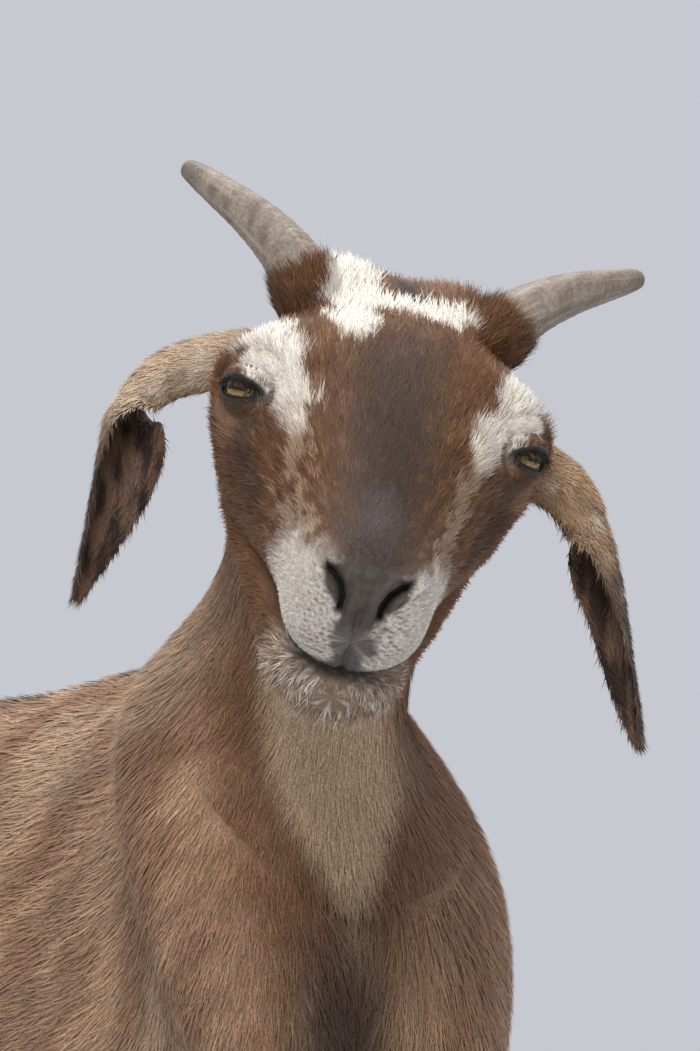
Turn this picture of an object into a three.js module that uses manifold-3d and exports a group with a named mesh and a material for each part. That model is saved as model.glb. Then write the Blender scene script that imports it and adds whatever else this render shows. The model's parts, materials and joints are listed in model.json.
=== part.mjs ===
// A life-size horned, lop-eared goat standing square, its neck raised and its head turned to its right.
// Millimetres, +Z up. The goat faces -Y and its left side is +X. Every segment is one closed solid.
import * as THREE from 'three';
import { mergeVertices } from 'three/addons/utils/BufferGeometryUtils.js';
import Module from 'manifold-3d';

const wasm = await Module();
wasm.setup();

// ---- driving dimensions -------------------------------------------------------------------------
const ROOM = (r) => 1.05 * r + 1; // a socket's radius for a knuckle of radius r
const FIT = 0.5; // clearance between pieces that sit in one another
const NECK = [[0, -245, 650], [-23, -299, 758], [-34, -342, 853], [-50, -385, 933]]; // joint centres
const NECK_BALL = [84, 56, 43, 42]; // knuckle radius at each joint centre
const NECK_BASE_WIDTH = 70; // half width of the lowest knuckle
const HEAD_YAW = -29, HEAD_ROLL = 13.7, HEAD_PITCH = 35; // degrees: turned right, top to its left, nose down
const EYE = [60, -85, 20], EYE_RADIUS = 14; // in head coordinates: left, back, up from the skull joint
const JAW_HINGE = [0, -38, -10];
const STANCE_FRONT = 86, STANCE_HIND = 90;

// back end to front end: y, middle height, half width, half height above, half height below
const TRUNK = [
  [404, 640, 24, 24, 26], [392, 628, 62, 62, 66], [350, 612, 100, 104, 108], [280, 592, 122, 132, 130],
  [180, 574, 140, 158, 152], [60, 560, 154, 180, 172], [-60, 566, 150, 182, 168], [-160, 584, 134, 182, 160],
  [-230, 602, 114, 152, 154], [-290, 612, 94, 112, 134], [-335, 612, 68, 74, 96], [-356, 610, 30, 34, 44],
];

// front leg and hind leg: the joint centres as x, y, z for the left side
const FORE = {
  name: 'front', top: 'upper_arm', mid: 'forearm',
  at: [[96, -285, 540], [90, -222, 430], [STANCE_FRONT, -238, 250], [STANCE_FRONT, -234, 102],
    [STANCE_FRONT, -257, 52]],
  knuckle: [null, [27, 36], [19, 21], [17, 19]],
  upper: [[[0, 16, 52], 15, 26], [[0, 7, 30], 26, 46], [[0, 0, 0], 30, 56], [[-3, 30, -52], 29, 46],
    [[-5, 56, -98], 26, 32]],
  lower: [[0, 25, 27], [0.3, 23, 26], [0.65, 17, 19], [0.96, 17, 17]],
  cannon: [[0, 15, 15], [0.25, 13, 14], [0.7, 12.5, 14], [0.96, 14, 14.5]],
  recess: [72, 44, 62],
};
const HIND = {
  name: 'hind', top: 'thigh', mid: 'gaskin',
  at: [[100, 305, 600], [104, 222, 452], [94, 352, 285], [STANCE_HIND, 334, 102], [STANCE_HIND, 311, 52]],
  knuckle: [null, [31, 48], [17, 24], [17, 19]],
  upper: [[[0, 10, 66], 18, 40], [[0, 5, 38], 32, 72], [[0, 0, 0], 37, 84], [[2, -42, -74], 37, 72],
    [[4, -76, -136], 28, 38]],
  lower: [[0, 26, 30], [0.3, 26, 33], [0.65, 18, 24], [0.97, 14, 20]],
  cannon: [[0, 15, 17], [0.25, 13.5, 16], [0.7, 13, 14.5], [0.96, 14, 14.5]],
  recess: [92, 54, 60],
};
const SWING = 15; // degrees the shoulder and hip recesses leave free to each side

const HIDE_BROWN = [0x7d5c43, 0.9], HIDE_TAN = [0xa98b6c, 0.9];
const HORN = [0x6c655c, 0.7], HOOF = [0x35302b, 0.6];

// ---- shaping ------------------------------------------------------------------------------------
const vec = (p) => new THREE.Vector3(...p);
const flip = (p, side) => [p[0] * side, p[1], p[2]];

// A closed solid round a smooth line: each station is [point, half width, half depth, half depth on the
// other side, cup], the width lying along "across". The cup bends a thin section into a gutter.
function loft(stations, across, around = 16, along = 10) {
  const line = new THREE.CatmullRomCurve3(stations.map((s) => vec(s[0])), false, 'catmullrom', 0.5);
  const sizes = new THREE.CatmullRomCurve3(
    stations.map((s) => vec([s[1], s[2], s[3] ?? s[2]])), false, 'catmullrom', 0.5);
  const cups = new THREE.CatmullRomCurve3(
    stations.map((s) => vec([s[4] ?? 0, 0, 0])), false, 'catmullrom', 0.5);
  const tube = new THREE.CylinderGeometry(1, 1, 1, around, along);
  const p = tube.attributes.position;
  for (let i = 0; i < p.count; i++) {
    const t = 0.5 - p.getY(i), side = p.getX(i), face = p.getZ(i);
    const tangent = line.getTangent(t);
    const x = vec(across).addScaledVector(tangent, -vec(across).dot(tangent)).normalize();
    const y = new THREE.Vector3().crossVectors(tangent, x);
    const size = sizes.getPoint(t);
    const depth = face * (face > 0 ? size.y : size.z) - cups.getPoint(t).x * side * side;
    const at = line.getPoint(t).addScaledVector(x, size.x * side).addScaledVector(y, depth);
    p.setXYZ(i, at.x, at.y, at.z);
  }
  return tube;
}

// An ellipsoid of half sizes a, b, c about a point.
function ball(at, a, b = a, c = b, around = 16, rings = 10) {
  return new THREE.SphereGeometry(1, around, rings).rotateX(Math.PI / 2).scale(a, b, c).translate(...at);
}

function block(x0, x1, y0, y1, z0, z1) {
  return new THREE.BoxGeometry(x1 - x0, y1 - y0, z1 - z0)
    .translate((x0 + x1) / 2, (y0 + y1) / 2, (z0 + z1) / 2);
}

// A plate with the given outline of [y, z] points, running in x from x0 to x1.
function plate(outline, x0, x1) {
  const shape = new THREE.Shape(outline.map(([y, z]) => new THREE.Vector2(y, z)));
  const g = new THREE.ExtrudeGeometry(shape, { depth: x1 - x0, bevelEnabled: false });
  return g.applyMatrix4(new THREE.Matrix4().set(0, 0, 1, x0, 1, 0, 0, 0, 0, 1, 0, 0, 0, 0, 0, 1));
}

// The convex outline round a set of [y, z] points.
function hull(points) {
  const sorted = [...points].sort((a, b) => a[0] - b[0] || a[1] - b[1]);
  const half = (list) => {
    const out = [];
    for (const c of list) {
      while (out.length > 1) {
        const [a, b] = out.slice(-2);
        if ((b[0] - a[0]) * (c[1] - a[1]) - (b[1] - a[1]) * (c[0] - a[0]) > 1e-6) break;
        out.pop();
      }
      out.push(c);
    }
    return out.slice(0, -1);
  };
  return [...half(sorted), ...half(sorted.reverse())];
}

function solid(geometry) {
  let g = geometry.index ? geometry.clone() : mergeVertices(geometry.clone());
  g.deleteAttribute('normal');
  g.deleteAttribute('uv');
  g = mergeVertices(g, 1e-4);
  const v = g.attributes.position.array;
  const corners = g.index.array;
  let volume = 0;
  const faces = [];
  for (let i = 0; i < corners.length; i += 3) {
    const [a, b, c] = corners.slice(i, i + 3);
    if (a === b || b === c || c === a) continue;
    faces.push(a, b, c);
    const [A, B, C] = [a, b, c].map((k) => new THREE.Vector3(v[3 * k], v[3 * k + 1], v[3 * k + 2]));
    volume += A.dot(B.cross(C));
  }
  if (volume < 0) faces.reverse();
  return new wasm.Manifold(new wasm.Mesh({
    numProp: 3, vertProperties: Float32Array.from(v), triVerts: Uint32Array.from(faces),
  }));
}

const join = (...g) => g.map((x) => (x.attributes ? solid(x) : x)).reduce((a, b) => a.add(b));
const cut = (first, ...rest) => rest.map((x) => (x.attributes ? solid(x) : x))
  .reduce((a, b) => a.subtract(b), first.attributes ? solid(first) : first);
const meet = (a, b) => (a.attributes ? solid(a) : a).intersect(b.attributes ? solid(b) : b);

const group = new THREE.Group();
group.name = 'goat';

// The solid as three.js geometry, put in place by a matrix.
function surface(shape, place = new THREE.Matrix4()) {
  const mesh = (shape.attributes ? solid(shape) : shape).getMesh();
  const g = new THREE.BufferGeometry();
  g.setAttribute('position', new THREE.BufferAttribute(Float32Array.from(mesh.vertProperties), 3));
  g.setIndex([...mesh.triVerts]);
  return g.applyMatrix4(place);
}

function add(name, shape, [colour, roughness, metalness = 0], place) {
  const g = surface(shape, place);
  const node = new THREE.Mesh(g, new THREE.MeshStandardMaterial({ color: colour, roughness, metalness }));
  node.name = name;
  group.add(node);
}

// ---- trunk and tail -----------------------------------------------------------------------------
const AROUND_X = [1, 0, 0];
const TAIL_ROOT = [0, 380, 688];

// The room the swinging upper segment of a leg needs in the side of the trunk.
function recess(leg, side) {
  const [[, y0, z0], [, y1, z1]] = leg.at;
  const [r0, r1, inner] = leg.recess;
  const points = [];
  const ring = (y, z, r) => {
    for (let i = 0; i < 20; i++) {
      const a = (i / 20) * 2 * Math.PI;
      points.push([y + r * Math.cos(a), z + r * Math.sin(a)]);
    }
  };
  ring(y0, z0, r0);
  for (let k = -2; k <= 2; k++) {
    const a = THREE.MathUtils.degToRad((k / 2) * SWING);
    const [dy, dz] = [y1 - y0, z1 - z0];
    ring(y0 + dy * Math.cos(a) - dz * Math.sin(a), z0 + dy * Math.sin(a) + dz * Math.cos(a), r1);
  }
  return side > 0 ? plate(hull(points), inner, 220) : plate(hull(points), -220, -inner);
}

// The room the neck's lowest segment needs over the withers and the chest as it is raised and lowered.
function neckRoom(swing) {
  const shaft = loft([0, 0.5, 1.2].map((t, i) => [
    vec(NECK[0]).lerp(vec(NECK[1]), t).toArray(), 72 - 7 * i, 78 - 7 * i]), AROUND_X, 16, 3);
  const turned = (angle) => shaft.clone().translate(...NECK[0].map((v) => -v))
    .rotateX(THREE.MathUtils.degToRad(angle)).translate(...NECK[0]);
  return join(...[-swing, -swing / 2, 0, swing / 2, swing].map(turned));
}

const trunk = loft(TRUNK.map(([y, z, w, up, down]) => [[0, y, z], w, up, down]), AROUND_X, 24, 15);
add('trunk', cut(trunk, ball(NECK[0], ROOM(NECK_BASE_WIDTH), ROOM(NECK_BALL[0])), neckRoom(15),
  ball(TAIL_ROOT, ROOM(20)), recess(FORE, 1), recess(FORE, -1), recess(HIND, 1), recess(HIND, -1)),
HIDE_BROWN);
add('tail', join(ball(TAIL_ROOT, 20, 20, 20, 12, 8), loft([
  [TAIL_ROOT, 18, 13], [[0, 406, 706], 21, 13], [[0, 428, 734], 22, 12], [[0, 440, 764], 14, 8],
  [[0, 443, 780], 4, 3]], AROUND_X, 10, 6)), HIDE_BROWN);

// ---- neck ---------------------------------------------------------------------------------------
function neckPart(from, to, sizes) {
  const [a, b] = [vec(NECK[from]), vec(NECK[to])];
  const stations = sizes.map(([t, w, up, down]) => [a.clone().lerp(b, t).toArray(), w, up, down]);
  const width = from ? NECK_BALL[from] : NECK_BASE_WIDTH;
  return cut(join(ball(NECK[from], width, NECK_BALL[from]), loft(stations, AROUND_X, 16, 5)),
    ball(NECK[to], ROOM(NECK_BALL[to])));
}
add('lower_neck',
  neckPart(0, 1, [[0, 66, 72, 72], [0.35, 58, 66, 68], [0.7, 51, 58, 60], [0.9, 48, 54, 55]]), HIDE_TAN);
add('upper_neck', neckPart(1, 2, [[0, 47, 53, 54], [0.4, 44, 48, 50], [0.7, 41, 44, 44], [0.88, 39, 40, 40]]),
  HIDE_TAN);

// ---- head ---------------------------------------------------------------------------------------
const rad = THREE.MathUtils.degToRad;
const toHead = new THREE.Matrix4().makeTranslation(...NECK[3])
  .multiply(new THREE.Matrix4().makeRotationZ(rad(HEAD_YAW)))
  .multiply(new THREE.Matrix4().makeRotationY(rad(HEAD_ROLL)))
  .multiply(new THREE.Matrix4().makeRotationX(rad(HEAD_PITCH)));

// back of the skull to the lips: y, middle height, half width, half height above, half height below
const SKULL = [
  [20, 12, 14, 14, 14], [12, 11, 34, 31, 30], [-8, 4, 45, 44, 36], [-35, -6, 53, 56, 58],
  [-62, -9, 60, 60, 58], [-85, -9, 61, 60, 56], [-108, -11, 56, 57, 51], [-135, -12, 48, 51, 47],
  [-163, -15, 40, 45, 44], [-186, -18, 34, 40, 42], [-199, -20, 29, 33, 37], [-207, -21, 18, 20, 24],
];
const wholeHead = (d = 0, around = 24, along = 17) => loft(
  SKULL.map(([y, z, w, up, down]) => [[0, y, z], w + d, up + d, down + d]), AROUND_X, around, along);
const whole = wholeHead();

// the jaw is what lies below the mouth line, from the chin back to the jaw angle
const jawOutline = (d) => [[-240, -31 - d], [-135, -32 - d], [-64, -36 - d], [-46 - d, -42 - d],
  [-42 - d, -100], [-240, -100]];
const mouth = loft([[[0, -82, -32], 14, 9, 10], [[0, -92, -32], 23, 13, 14], [[0, -150, -31], 22.5, 12, 13],
  [[0, -190, -31], 18, 9, 9.5], [[0, -199, -31], 13, 6, 6.5]], AROUND_X, 12, 6);
const EYES = [1, -1].map((side) => flip(EYE, side));
const sockets = EYES.map((at) => ball(at, 18.2, 18.2, 18.2, 14, 9));

const padBox = (d) => block(-19 - d, 19 + d, -230, -197 + d, -14 - d, 40);
const nostril = (side) => loft([[[14 * side, -214, 8], 3, 3], [[12 * side, -203, 6], 5, 4],
  [[9 * side, -186, 3], 4, 3]], AROUND_X, 8, 3);

const hornLine = (side) => [[[37, -32, 26], 14.5, 14.5], [[44, -26, 38], 14, 14.5], [[51, -18.5, 46], 13, 14],
  [[63, -7, 51], 11.2, 12.2], [[78, 6, 53.5], 9, 10], [[93, 18, 54], 7, 7.8], [[103, 26, 54], 5.6, 6],
  [[109, 30.5, 54], 4, 4.2], [[111.5, 32, 54], 1.6, 1.6]]
  .map(([p, a, b]) => [flip(p, side), a, b]);
const swell = (stations, d) => stations.map(([p, ...s]) => [p, ...s.map((x) => x + d)]);
const horn = (side, d = 0) => loft(swell(hornLine(side), d), [0, 1, 0], 12, 9);
const core = (side, d = 0) => loft(swell([
  [[40, -29.4, 31], 8.5, 8.5], [[46, -23.8, 41], 8, 8.5], [[57, -12.7, 49], 6, 6.5], [[68, -2.5, 52], 3, 3.4]]
  .map(([p, a, b]) => [flip(p, side), a, b]), d), [0, 1, 0], 8, 5);
// the open root of the sheath: the core's room carried on out through the sheath's base
const root = (side) => loft([[flip([30, -39, 14], side), 9.6, 9.6], [flip([38.2, -31, 28], side), 9.6, 9.6],
  [flip([43, -26.8, 36], side), 9, 9.2]], [0, 1, 0], 8, 3);

const head = cut(join(whole, ball([0, 0, 0], NECK_BALL[3]),
  ...EYES.map(([x, y, z]) => ball([x * 0.84, y, z], 21, 24, 22, 14, 9))),
plate(jawOutline(-1), -120, 120), block(-120, 120, -46, 60, -120, -34), mouth, ...sockets,
padBox(FIT), nostril(1), nostril(-1), horn(1, FIT), horn(-1, FIT));
add('head', join(head, ball([0, 0, 0], NECK_BALL[3])), HIDE_BROWN, toHead);
add('nose_pad', cut(meet(whole, padBox(0)), nostril(1), nostril(-1)), [0x6f645c, 0.55], toHead);
add('lower_jaw', cut(meet(whole, plate(jawOutline(1), -120, 120)), mouth,
  loft([[[0, -20, -60], 36, 60], [[0, -60, -60], 34, 50], [[0, -82, -60], 24, 20]], AROUND_X, 12, 3)),
[0xcdbba2, 0.9], toHead);

// the top of the neck is hollowed wherever the nodding head or the open jaw would reach it
const nodding = [];
for (const nod of [-10, -3, 4, 11, 18]) {
  const skull = cut(wholeHead(3, 16, 12), block(-120, 120, -43, 60, -120, -37));
  const jaw = surface(meet(wholeHead(3, 16, 12), plate(jawOutline(0), -120, 120)))
    .translate(...JAW_HINGE.map((v) => -v)).rotateX(rad(16)).translate(...JAW_HINGE);
  const turned = toHead.clone().multiply(new THREE.Matrix4().makeRotationX(rad(nod)));
  nodding.push(surface(skull, turned), jaw.applyMatrix4(turned));
}
add('neck_top', cut(neckPart(2, 3, [[0, 38, 40, 40], [0.4, 33, 38, 33], [0.75, 33, 36, 30]]), ...nodding),
  HIDE_TAN);

// mouth furniture: a row of cheek teeth is one ridged strip, the incisors one fan of eight crowns
function toothRow(x, y0, count, pitch, z0, z1, width) {
  const low = Math.min(z0, z1), high = Math.max(z0, z1);
  const [floor, top] = z1 > z0 ? [z1 - 3, z1 + 1] : [z1 - 1, z1 + 3];
  let row = solid(block(x - width / 2, x + width / 2, y0, y0 + count * pitch, low, high));
  for (let i = 1; i < count; i++) {
    const y = y0 + i * pitch;
    row = row.subtract(solid(block(x - width, x + width, y - 0.6, y + 0.6, floor, top)));
  }
  return row;
}
const IVORY = [0xe6dcc4, 0.4], PINK = [0xb98a80, 0.6];
for (const [side, word] of [[1, 'left'], [-1, 'right']]) {
  add(`upper_${word}_cheek_teeth`, toothRow(13.5 * side, -150, 6, 9, -24.5, -31.4, 6), IVORY, toHead);
  add(`lower_${word}_cheek_teeth`, toothRow(13 * side, -150, 6, 9, -38, -32, 5), IVORY, toHead);
}
let incisors = solid(block(-10, 10, -189, -184, -36.6, -33));
for (let i = 0; i < 8; i++) {
  const x = (i - 3.5) * 2.6, back = 0.04 * x * x;
  incisors = incisors.add(solid(block(x - 1.2, x + 1.2, -192 + back, -187 + back, -36, -28)));
}
add('lower_incisors', incisors, IVORY, toHead);
add('dental_pad', loft([[[0, -192, -26.2], 6, 1], [[0, -186, -25.6], 11, 1.4], [[0, -174, -24.4], 12, 1.4],
  [[0, -166, -23.6], 8, 1]], AROUND_X, 10, 4), PINK, toHead);
add('tongue', loft([[[0, -95, -36], 5, 4], [[0, -110, -35], 8.4, 5], [[0, -150, -35], 8.4, 4.6],
  [[0, -172, -35], 7.5, 3.6], [[0, -182, -34], 4, 1.6]], AROUND_X, 10, 7), PINK, toHead);

// eyes: a ball, and a shell segment above and below it that turns about the line between the corners;
// the left eye opens outwards, forwards and a little up, and EYE_BACK runs to its outer corner
const EYE_BACK = vec([0.66, 0.61, -0.43]).normalize();
const EYE_OVER = vec([0.7, -0.6, 0.38]).cross(EYE_BACK).normalize();
const EYE_OUT = EYE_BACK.clone().cross(EYE_OVER);
function lid(side, from, to) {
  const shell = cut(ball([0, 0, 0], 17.2, 17.2, 17.2, 14, 9), ball([0, 0, 0], 15, 15, 15, 14, 9));
  const wedge = [];
  for (let i = 0; i <= 3; i++) {
    const a = rad(from + ((to - from) * i) / 3);
    wedge.push([40 * Math.cos(a), 40 * Math.sin(a)]);
  }
  const outline = new THREE.Shape([[0, 0], ...wedge].map((p) => new THREE.Vector2(...p)));
  const fan = new THREE.ExtrudeGeometry(outline,
    { depth: 60, bevelEnabled: false }).translate(0, 0, -30).rotateX(Math.PI / 2);
  const eyeFrame = new THREE.Matrix4().makeBasis(EYE_OUT, EYE_BACK, EYE_OVER);
  fan.applyMatrix4(eyeFrame);
  return meet(shell, side > 0 ? fan : fan.applyMatrix4(new THREE.Matrix4().makeScale(-1, 1, 1)));
}
for (const [side, word] of [[1, 'left'], [-1, 'right']]) {
  const place = toHead.clone().multiply(new THREE.Matrix4().makeTranslation(...flip(EYE, side)));
  add(`${word}_eyeball`, ball([0, 0, 0], EYE_RADIUS, EYE_RADIUS, EYE_RADIUS, 14, 9), [0x8a5f2c, 0.15], place);
  add(`${word}_upper_eyelid`, lid(side, 12, 92), [0x3d322b, 0.8], place);
  add(`${word}_lower_eyelid`, lid(side, -80, -14), [0x3d322b, 0.8], place);
  add(`${word}_horn`, cut(horn(side), core(side, FIT), root(side)), HORN, toHead);
  add(`${word}_horn_core`, core(side), IVORY, toHead);
}

// ears: leaf-shaped gutters that stand out from the head and then hang; points run from the middle of the
// eyes in a level frame turned with the ears: [to the goat's left, up, back]
const EARS_YAW = rad(-35);
const eyesMiddle = new THREE.Vector3(0, EYE[1], EYE[2]).applyMatrix4(toHead);
const fromEyes = ([left, up, back]) => [
  eyesMiddle.x + left * Math.cos(EARS_YAW) - back * Math.sin(EARS_YAW),
  eyesMiddle.y + left * Math.sin(EARS_YAW) + back * Math.cos(EARS_YAW), eyesMiddle.z + up];
const EARS = {
  right: { across: [-0.7, 0.7, 0.15], line: [[[-72, 33, 44], 12, 6, 0], [[-84, 31, 46], 18, 3.2, 4],
    [[-102, 27, 48], 18, 2.6, 6], [[-117, 17, 48], 18, 2.4, 7], [[-124, 0, 46], 20, 2.3, 8],
    [[-125, -28, 42], 18, 2.3, 7], [[-132, -52, 40], 12, 2, 4], [[-138, -70, 39], 7, 1.8, 2],
    [[-142, -82, 38], 3, 1.4, 0]] },
  left: { across: [0.7, 0.7, 0.15], line: [[[75, -18, 44], 12, 6, 0], [[87, -27, 46], 17, 3.2, 4],
    [[98, -39, 48], 17, 2.6, 6], [[104, -56, 48], 16, 2.4, 7], [[107, -78, 46], 15, 2.3, 6],
    [[111, -104, 43], 11, 2, 4], [[116, -134, 41], 6, 1.8, 2], [[119, -150, 40], 3, 1.4, 0]] },
};
for (const [word, ear] of Object.entries(EARS)) {
  const stations = ear.line.map(([p, w, thick, cup]) => [fromEyes(p), w, thick, thick, cup]);
  add(`${word}_ear`, loft(stations, ear.across, 14, 11), HIDE_TAN);
}

// ---- legs ---------------------------------------------------------------------------------------
function between(a, b, t) {
  return vec(a).lerp(vec(b), t).toArray();
}

function segment(from, to, sizes, side, knuckle, socket) {
  const stations = sizes.map(([t, w, d]) => [flip(between(from, to, t), side), w, d]);
  const end = (at, [wide, deep]) => ball(flip(at, side), wide, deep, deep, 12, 8);
  const bone = join(loft(stations, AROUND_X, 12, 5), end(from, knuckle));
  return socket ? cut(bone, end(to, socket.map(ROOM))) : bone;
}

function leg(spec, side, word) {
  const at = spec.at;
  const upper = spec.upper.map(([d, w, b]) => [flip([0, 1, 2].map((k) => at[0][k] + d[k]), side), w, b]);
  const [k1, k2, k3] = spec.knuckle.slice(1);
  const prefix = `${word}_${spec.name}`;
  add(`${prefix}_${spec.top}`, cut(loft(upper, AROUND_X, 16, 7),
    ball(flip(at[1], side), ROOM(k1[0]) + 6, ROOM(k1[1]), ROOM(k1[1]), 12, 8)), HIDE_BROWN);
  add(`${prefix}_${spec.mid}`, segment(at[1], at[2], spec.lower, side, k1, k2), HIDE_BROWN);
  add(`${prefix}_cannon`, segment(at[2], at[3], spec.cannon, side, k2, k3), HIDE_TAN);
  add(`${prefix}_pastern`, segment(at[3], at[4], [[0, 15, 14], [0.4, 15, 14], [0.75, 19, 17], [1, 23, 18]],
    side, k3, null), HIDE_TAN);
  const [x, y] = [at[4][0] * side, at[4][1]];
  for (const [dx, claw] of [[14 * side, 'outer'], [-14 * side, 'inner']]) {
    add(`${prefix}_${claw}_claw`, cut(loft([[[x + dx, y - 9, -8], 12, 32], [[x + dx, y - 6, 12], 12.6, 29],
      [[x + dx, y + 2, 34], 12.4, 22], [[x + dx, y + 4, 44], 11, 18]], AROUND_X, 14, 4),
    block(-400, 400, -500, 500, -40, 0)), HOOF);
    const back = at[3][1] + 18;
    add(`${prefix}_${claw}_dewclaw`, loft([[[x + dx * 0.8, back - 2, 88], 3.5, 3.5],
      [[x + dx * 0.8, back + 3, 84], 6.5, 4.5], [[x + dx * 0.8, back + 8, 74], 5.5, 3.5],
      [[x + dx * 0.8, back + 11, 68], 2, 1.5]], AROUND_X, 6, 3), HOOF);
  }
}
for (const [side, word] of [[1, 'left'], [-1, 'right']]) {
  leg(FORE, side, word);
  leg(HIND, side, word);
}

// ---- set the origin on the ground under the middle of the whole goat ---------------------------------
const box = new THREE.Box3().setFromObject(group);
const middle = box.getCenter(new THREE.Vector3());
const toOrigin = new THREE.Vector3(-middle.x, -middle.y, -box.min.z);
for (const node of group.children) node.geometry.translate(...toOrigin);

// ---- hinge lines, in the same frame: a point and a direction for every joint ---------------------------
const hinges = {};
function hinge(name, point, axis) {
  hinges[name] = { point: vec(point).add(toOrigin).toArray(), axis: vec(axis).normalize().toArray() };
}
const inHead = (p) => vec(p).applyMatrix4(toHead).toArray();
const alongHead = (p) => vec(p).transformDirection(toHead).toArray();
const neckLine = (i) => vec(NECK[i + 1]).sub(vec(NECK[i]));
hinge('neck_raise', NECK[0], AROUND_X);
hinge('neck_side_bend', NECK[1], vec(AROUND_X).cross(neckLine(1)).toArray());
hinge('head_turn', NECK[2], neckLine(2).toArray());
hinge('head_nod', NECK[3], alongHead(AROUND_X));
hinge('jaw_open', inHead(JAW_HINGE), alongHead(AROUND_X));
hinge('tail_lift', TAIL_ROOT, AROUND_X);
for (const [side, word] of [[1, 'left'], [-1, 'right']]) {
  hinge(`${word}_eye_look`, inHead(flip(EYE, side)), alongHead([0, 0, 1]));
  hinge(`${word}_blink`, inHead(flip(EYE, side)), alongHead(flip(EYE_BACK.toArray(), side)));
  hinge(`${word}_ear_swing`, fromEyes(EARS[word].line[0][0]), [0, 0, 1]);
  for (const [spec, names] of [[FORE, ['shoulder', 'elbow', 'carpus', 'fetlock']],
    [HIND, ['hip', 'stifle', 'hock', 'fetlock']]]) {
    names.forEach((bend, i) => hinge(`${word}_${spec.name}_${bend}`, flip(spec.at[i], side), AROUND_X));
  }
}
group.userData = { hinges, headFrame: toHead.clone().premultiply(
  new THREE.Matrix4().makeTranslation(...toOrigin)).toArray(), toOrigin: toOrigin.toArray() };

export default group;
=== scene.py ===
"""Looks of a life-size horned goat: hide, hair, horns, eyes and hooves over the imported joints."""
import json
import math

import bpy
import numpy as np
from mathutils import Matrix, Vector


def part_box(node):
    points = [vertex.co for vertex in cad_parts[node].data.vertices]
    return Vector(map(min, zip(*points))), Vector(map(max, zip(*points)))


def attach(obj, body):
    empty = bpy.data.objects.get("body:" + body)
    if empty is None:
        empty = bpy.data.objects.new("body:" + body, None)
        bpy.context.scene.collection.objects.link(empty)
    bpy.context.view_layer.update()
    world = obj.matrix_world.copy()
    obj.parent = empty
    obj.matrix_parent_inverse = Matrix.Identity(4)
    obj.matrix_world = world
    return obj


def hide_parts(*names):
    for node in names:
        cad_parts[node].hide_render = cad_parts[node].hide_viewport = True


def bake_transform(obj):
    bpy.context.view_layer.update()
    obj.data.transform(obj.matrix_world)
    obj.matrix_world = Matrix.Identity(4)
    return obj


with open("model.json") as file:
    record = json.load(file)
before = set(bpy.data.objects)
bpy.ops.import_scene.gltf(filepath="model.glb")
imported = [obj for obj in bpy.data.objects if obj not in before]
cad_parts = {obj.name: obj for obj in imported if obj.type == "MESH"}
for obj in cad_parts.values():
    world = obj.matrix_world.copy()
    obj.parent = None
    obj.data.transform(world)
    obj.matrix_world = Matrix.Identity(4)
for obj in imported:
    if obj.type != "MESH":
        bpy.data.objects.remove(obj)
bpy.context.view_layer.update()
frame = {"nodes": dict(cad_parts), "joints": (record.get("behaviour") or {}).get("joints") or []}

# ---- places taken from the joints -----------------------------------------------------------------
JOINT = {j["name"]: j for j in frame["joints"]}


def joint_at(name):
    """A joint's point in metres."""
    return np.array(JOINT[name]["pos_m"], float)


# the maker's own millimetres: x from the spine to the left, y from the shoulder towards the tail, z up
SHIFT = (joint_at("left_hind_hip") + joint_at("right_hind_hip")) / 2 - np.array([0, 0.305, 0.600])
LEFT = np.array(JOINT["head_nod"]["axis"], float)
UP = np.array(JOINT["left_eye_look"]["axis"], float)
FORWARD = np.cross(LEFT, UP)
SKULL = (joint_at("head_nod") - SHIFT) * 1000


def metres(p):
    """Maker's millimetres to the frame's metres."""
    return np.asarray(p, float) / 1000 + SHIFT


def millimetres(p):
    return (np.asarray(p, float) - SHIFT) * 1000


def from_head(p):
    """Millimetres left, forward and up from the skull joint, to the maker's millimetres."""
    p = np.asarray(p, float)
    return SKULL + p[..., 0:1] * LEFT + p[..., 1:2] * FORWARD + p[..., 2:3] * UP


def to_head(p):
    """The maker's millimetres as left, forward and up from the skull joint."""
    d = np.asarray(p, float) - SKULL
    return np.stack([d @ LEFT, d @ FORWARD, d @ UP], -1)


EYE_OUT, EYE_FORWARD, EYE_UP = to_head(millimetres(joint_at("left_eye_look")))


# ---- camera, light, floor ---------------------------------------------------------------------------
VIEW = math.radians(-35)
ACROSS_VIEW = np.array([math.cos(VIEW), math.sin(VIEW), 0])
AWAY = np.array([-math.sin(VIEW), math.cos(VIEW), 0])
EYES_MIDDLE = from_head([0, EYE_FORWARD, EYE_UP])


def set_camera():
    """Long lens, level with the eyes, looking at the head and shoulders from the front right."""
    tilt = math.radians(2.0)
    away = AWAY * math.cos(tilt) - np.array([0, 0, math.sin(tilt)])
    top = np.cross(ACROSS_VIEW, away)
    aim = metres(EYES_MIDDLE) - 0.0155 * ACROSS_VIEW - 0.0468 * top
    data = bpy.data.cameras.new("camera")
    cam = bpy.data.objects.new("camera", data)
    bpy.context.scene.collection.objects.link(cam)
    data.lens, data.sensor_width = 240, 36
    data.clip_end = 60
    cam.location = Vector(aim - away * 3.2)
    cam.rotation_mode = "QUATERNION"
    cam.rotation_quaternion = Vector(away).to_track_quat("-Z", "Y")
    bpy.context.scene.camera = cam


def area_light(name, at, to, size, power, colour=(1, 1, 1)):
    data = bpy.data.lights.new(name, "AREA")
    data.shape, data.size, data.energy, data.color = "DISK", size, power, colour
    lamp = bpy.data.objects.new(name, data)
    bpy.context.scene.collection.objects.link(lamp)
    lamp.location = at
    lamp.rotation_mode = "QUATERNION"
    lamp.rotation_quaternion = (Vector(to) - Vector(at)).to_track_quat("-Z", "Y")


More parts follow.
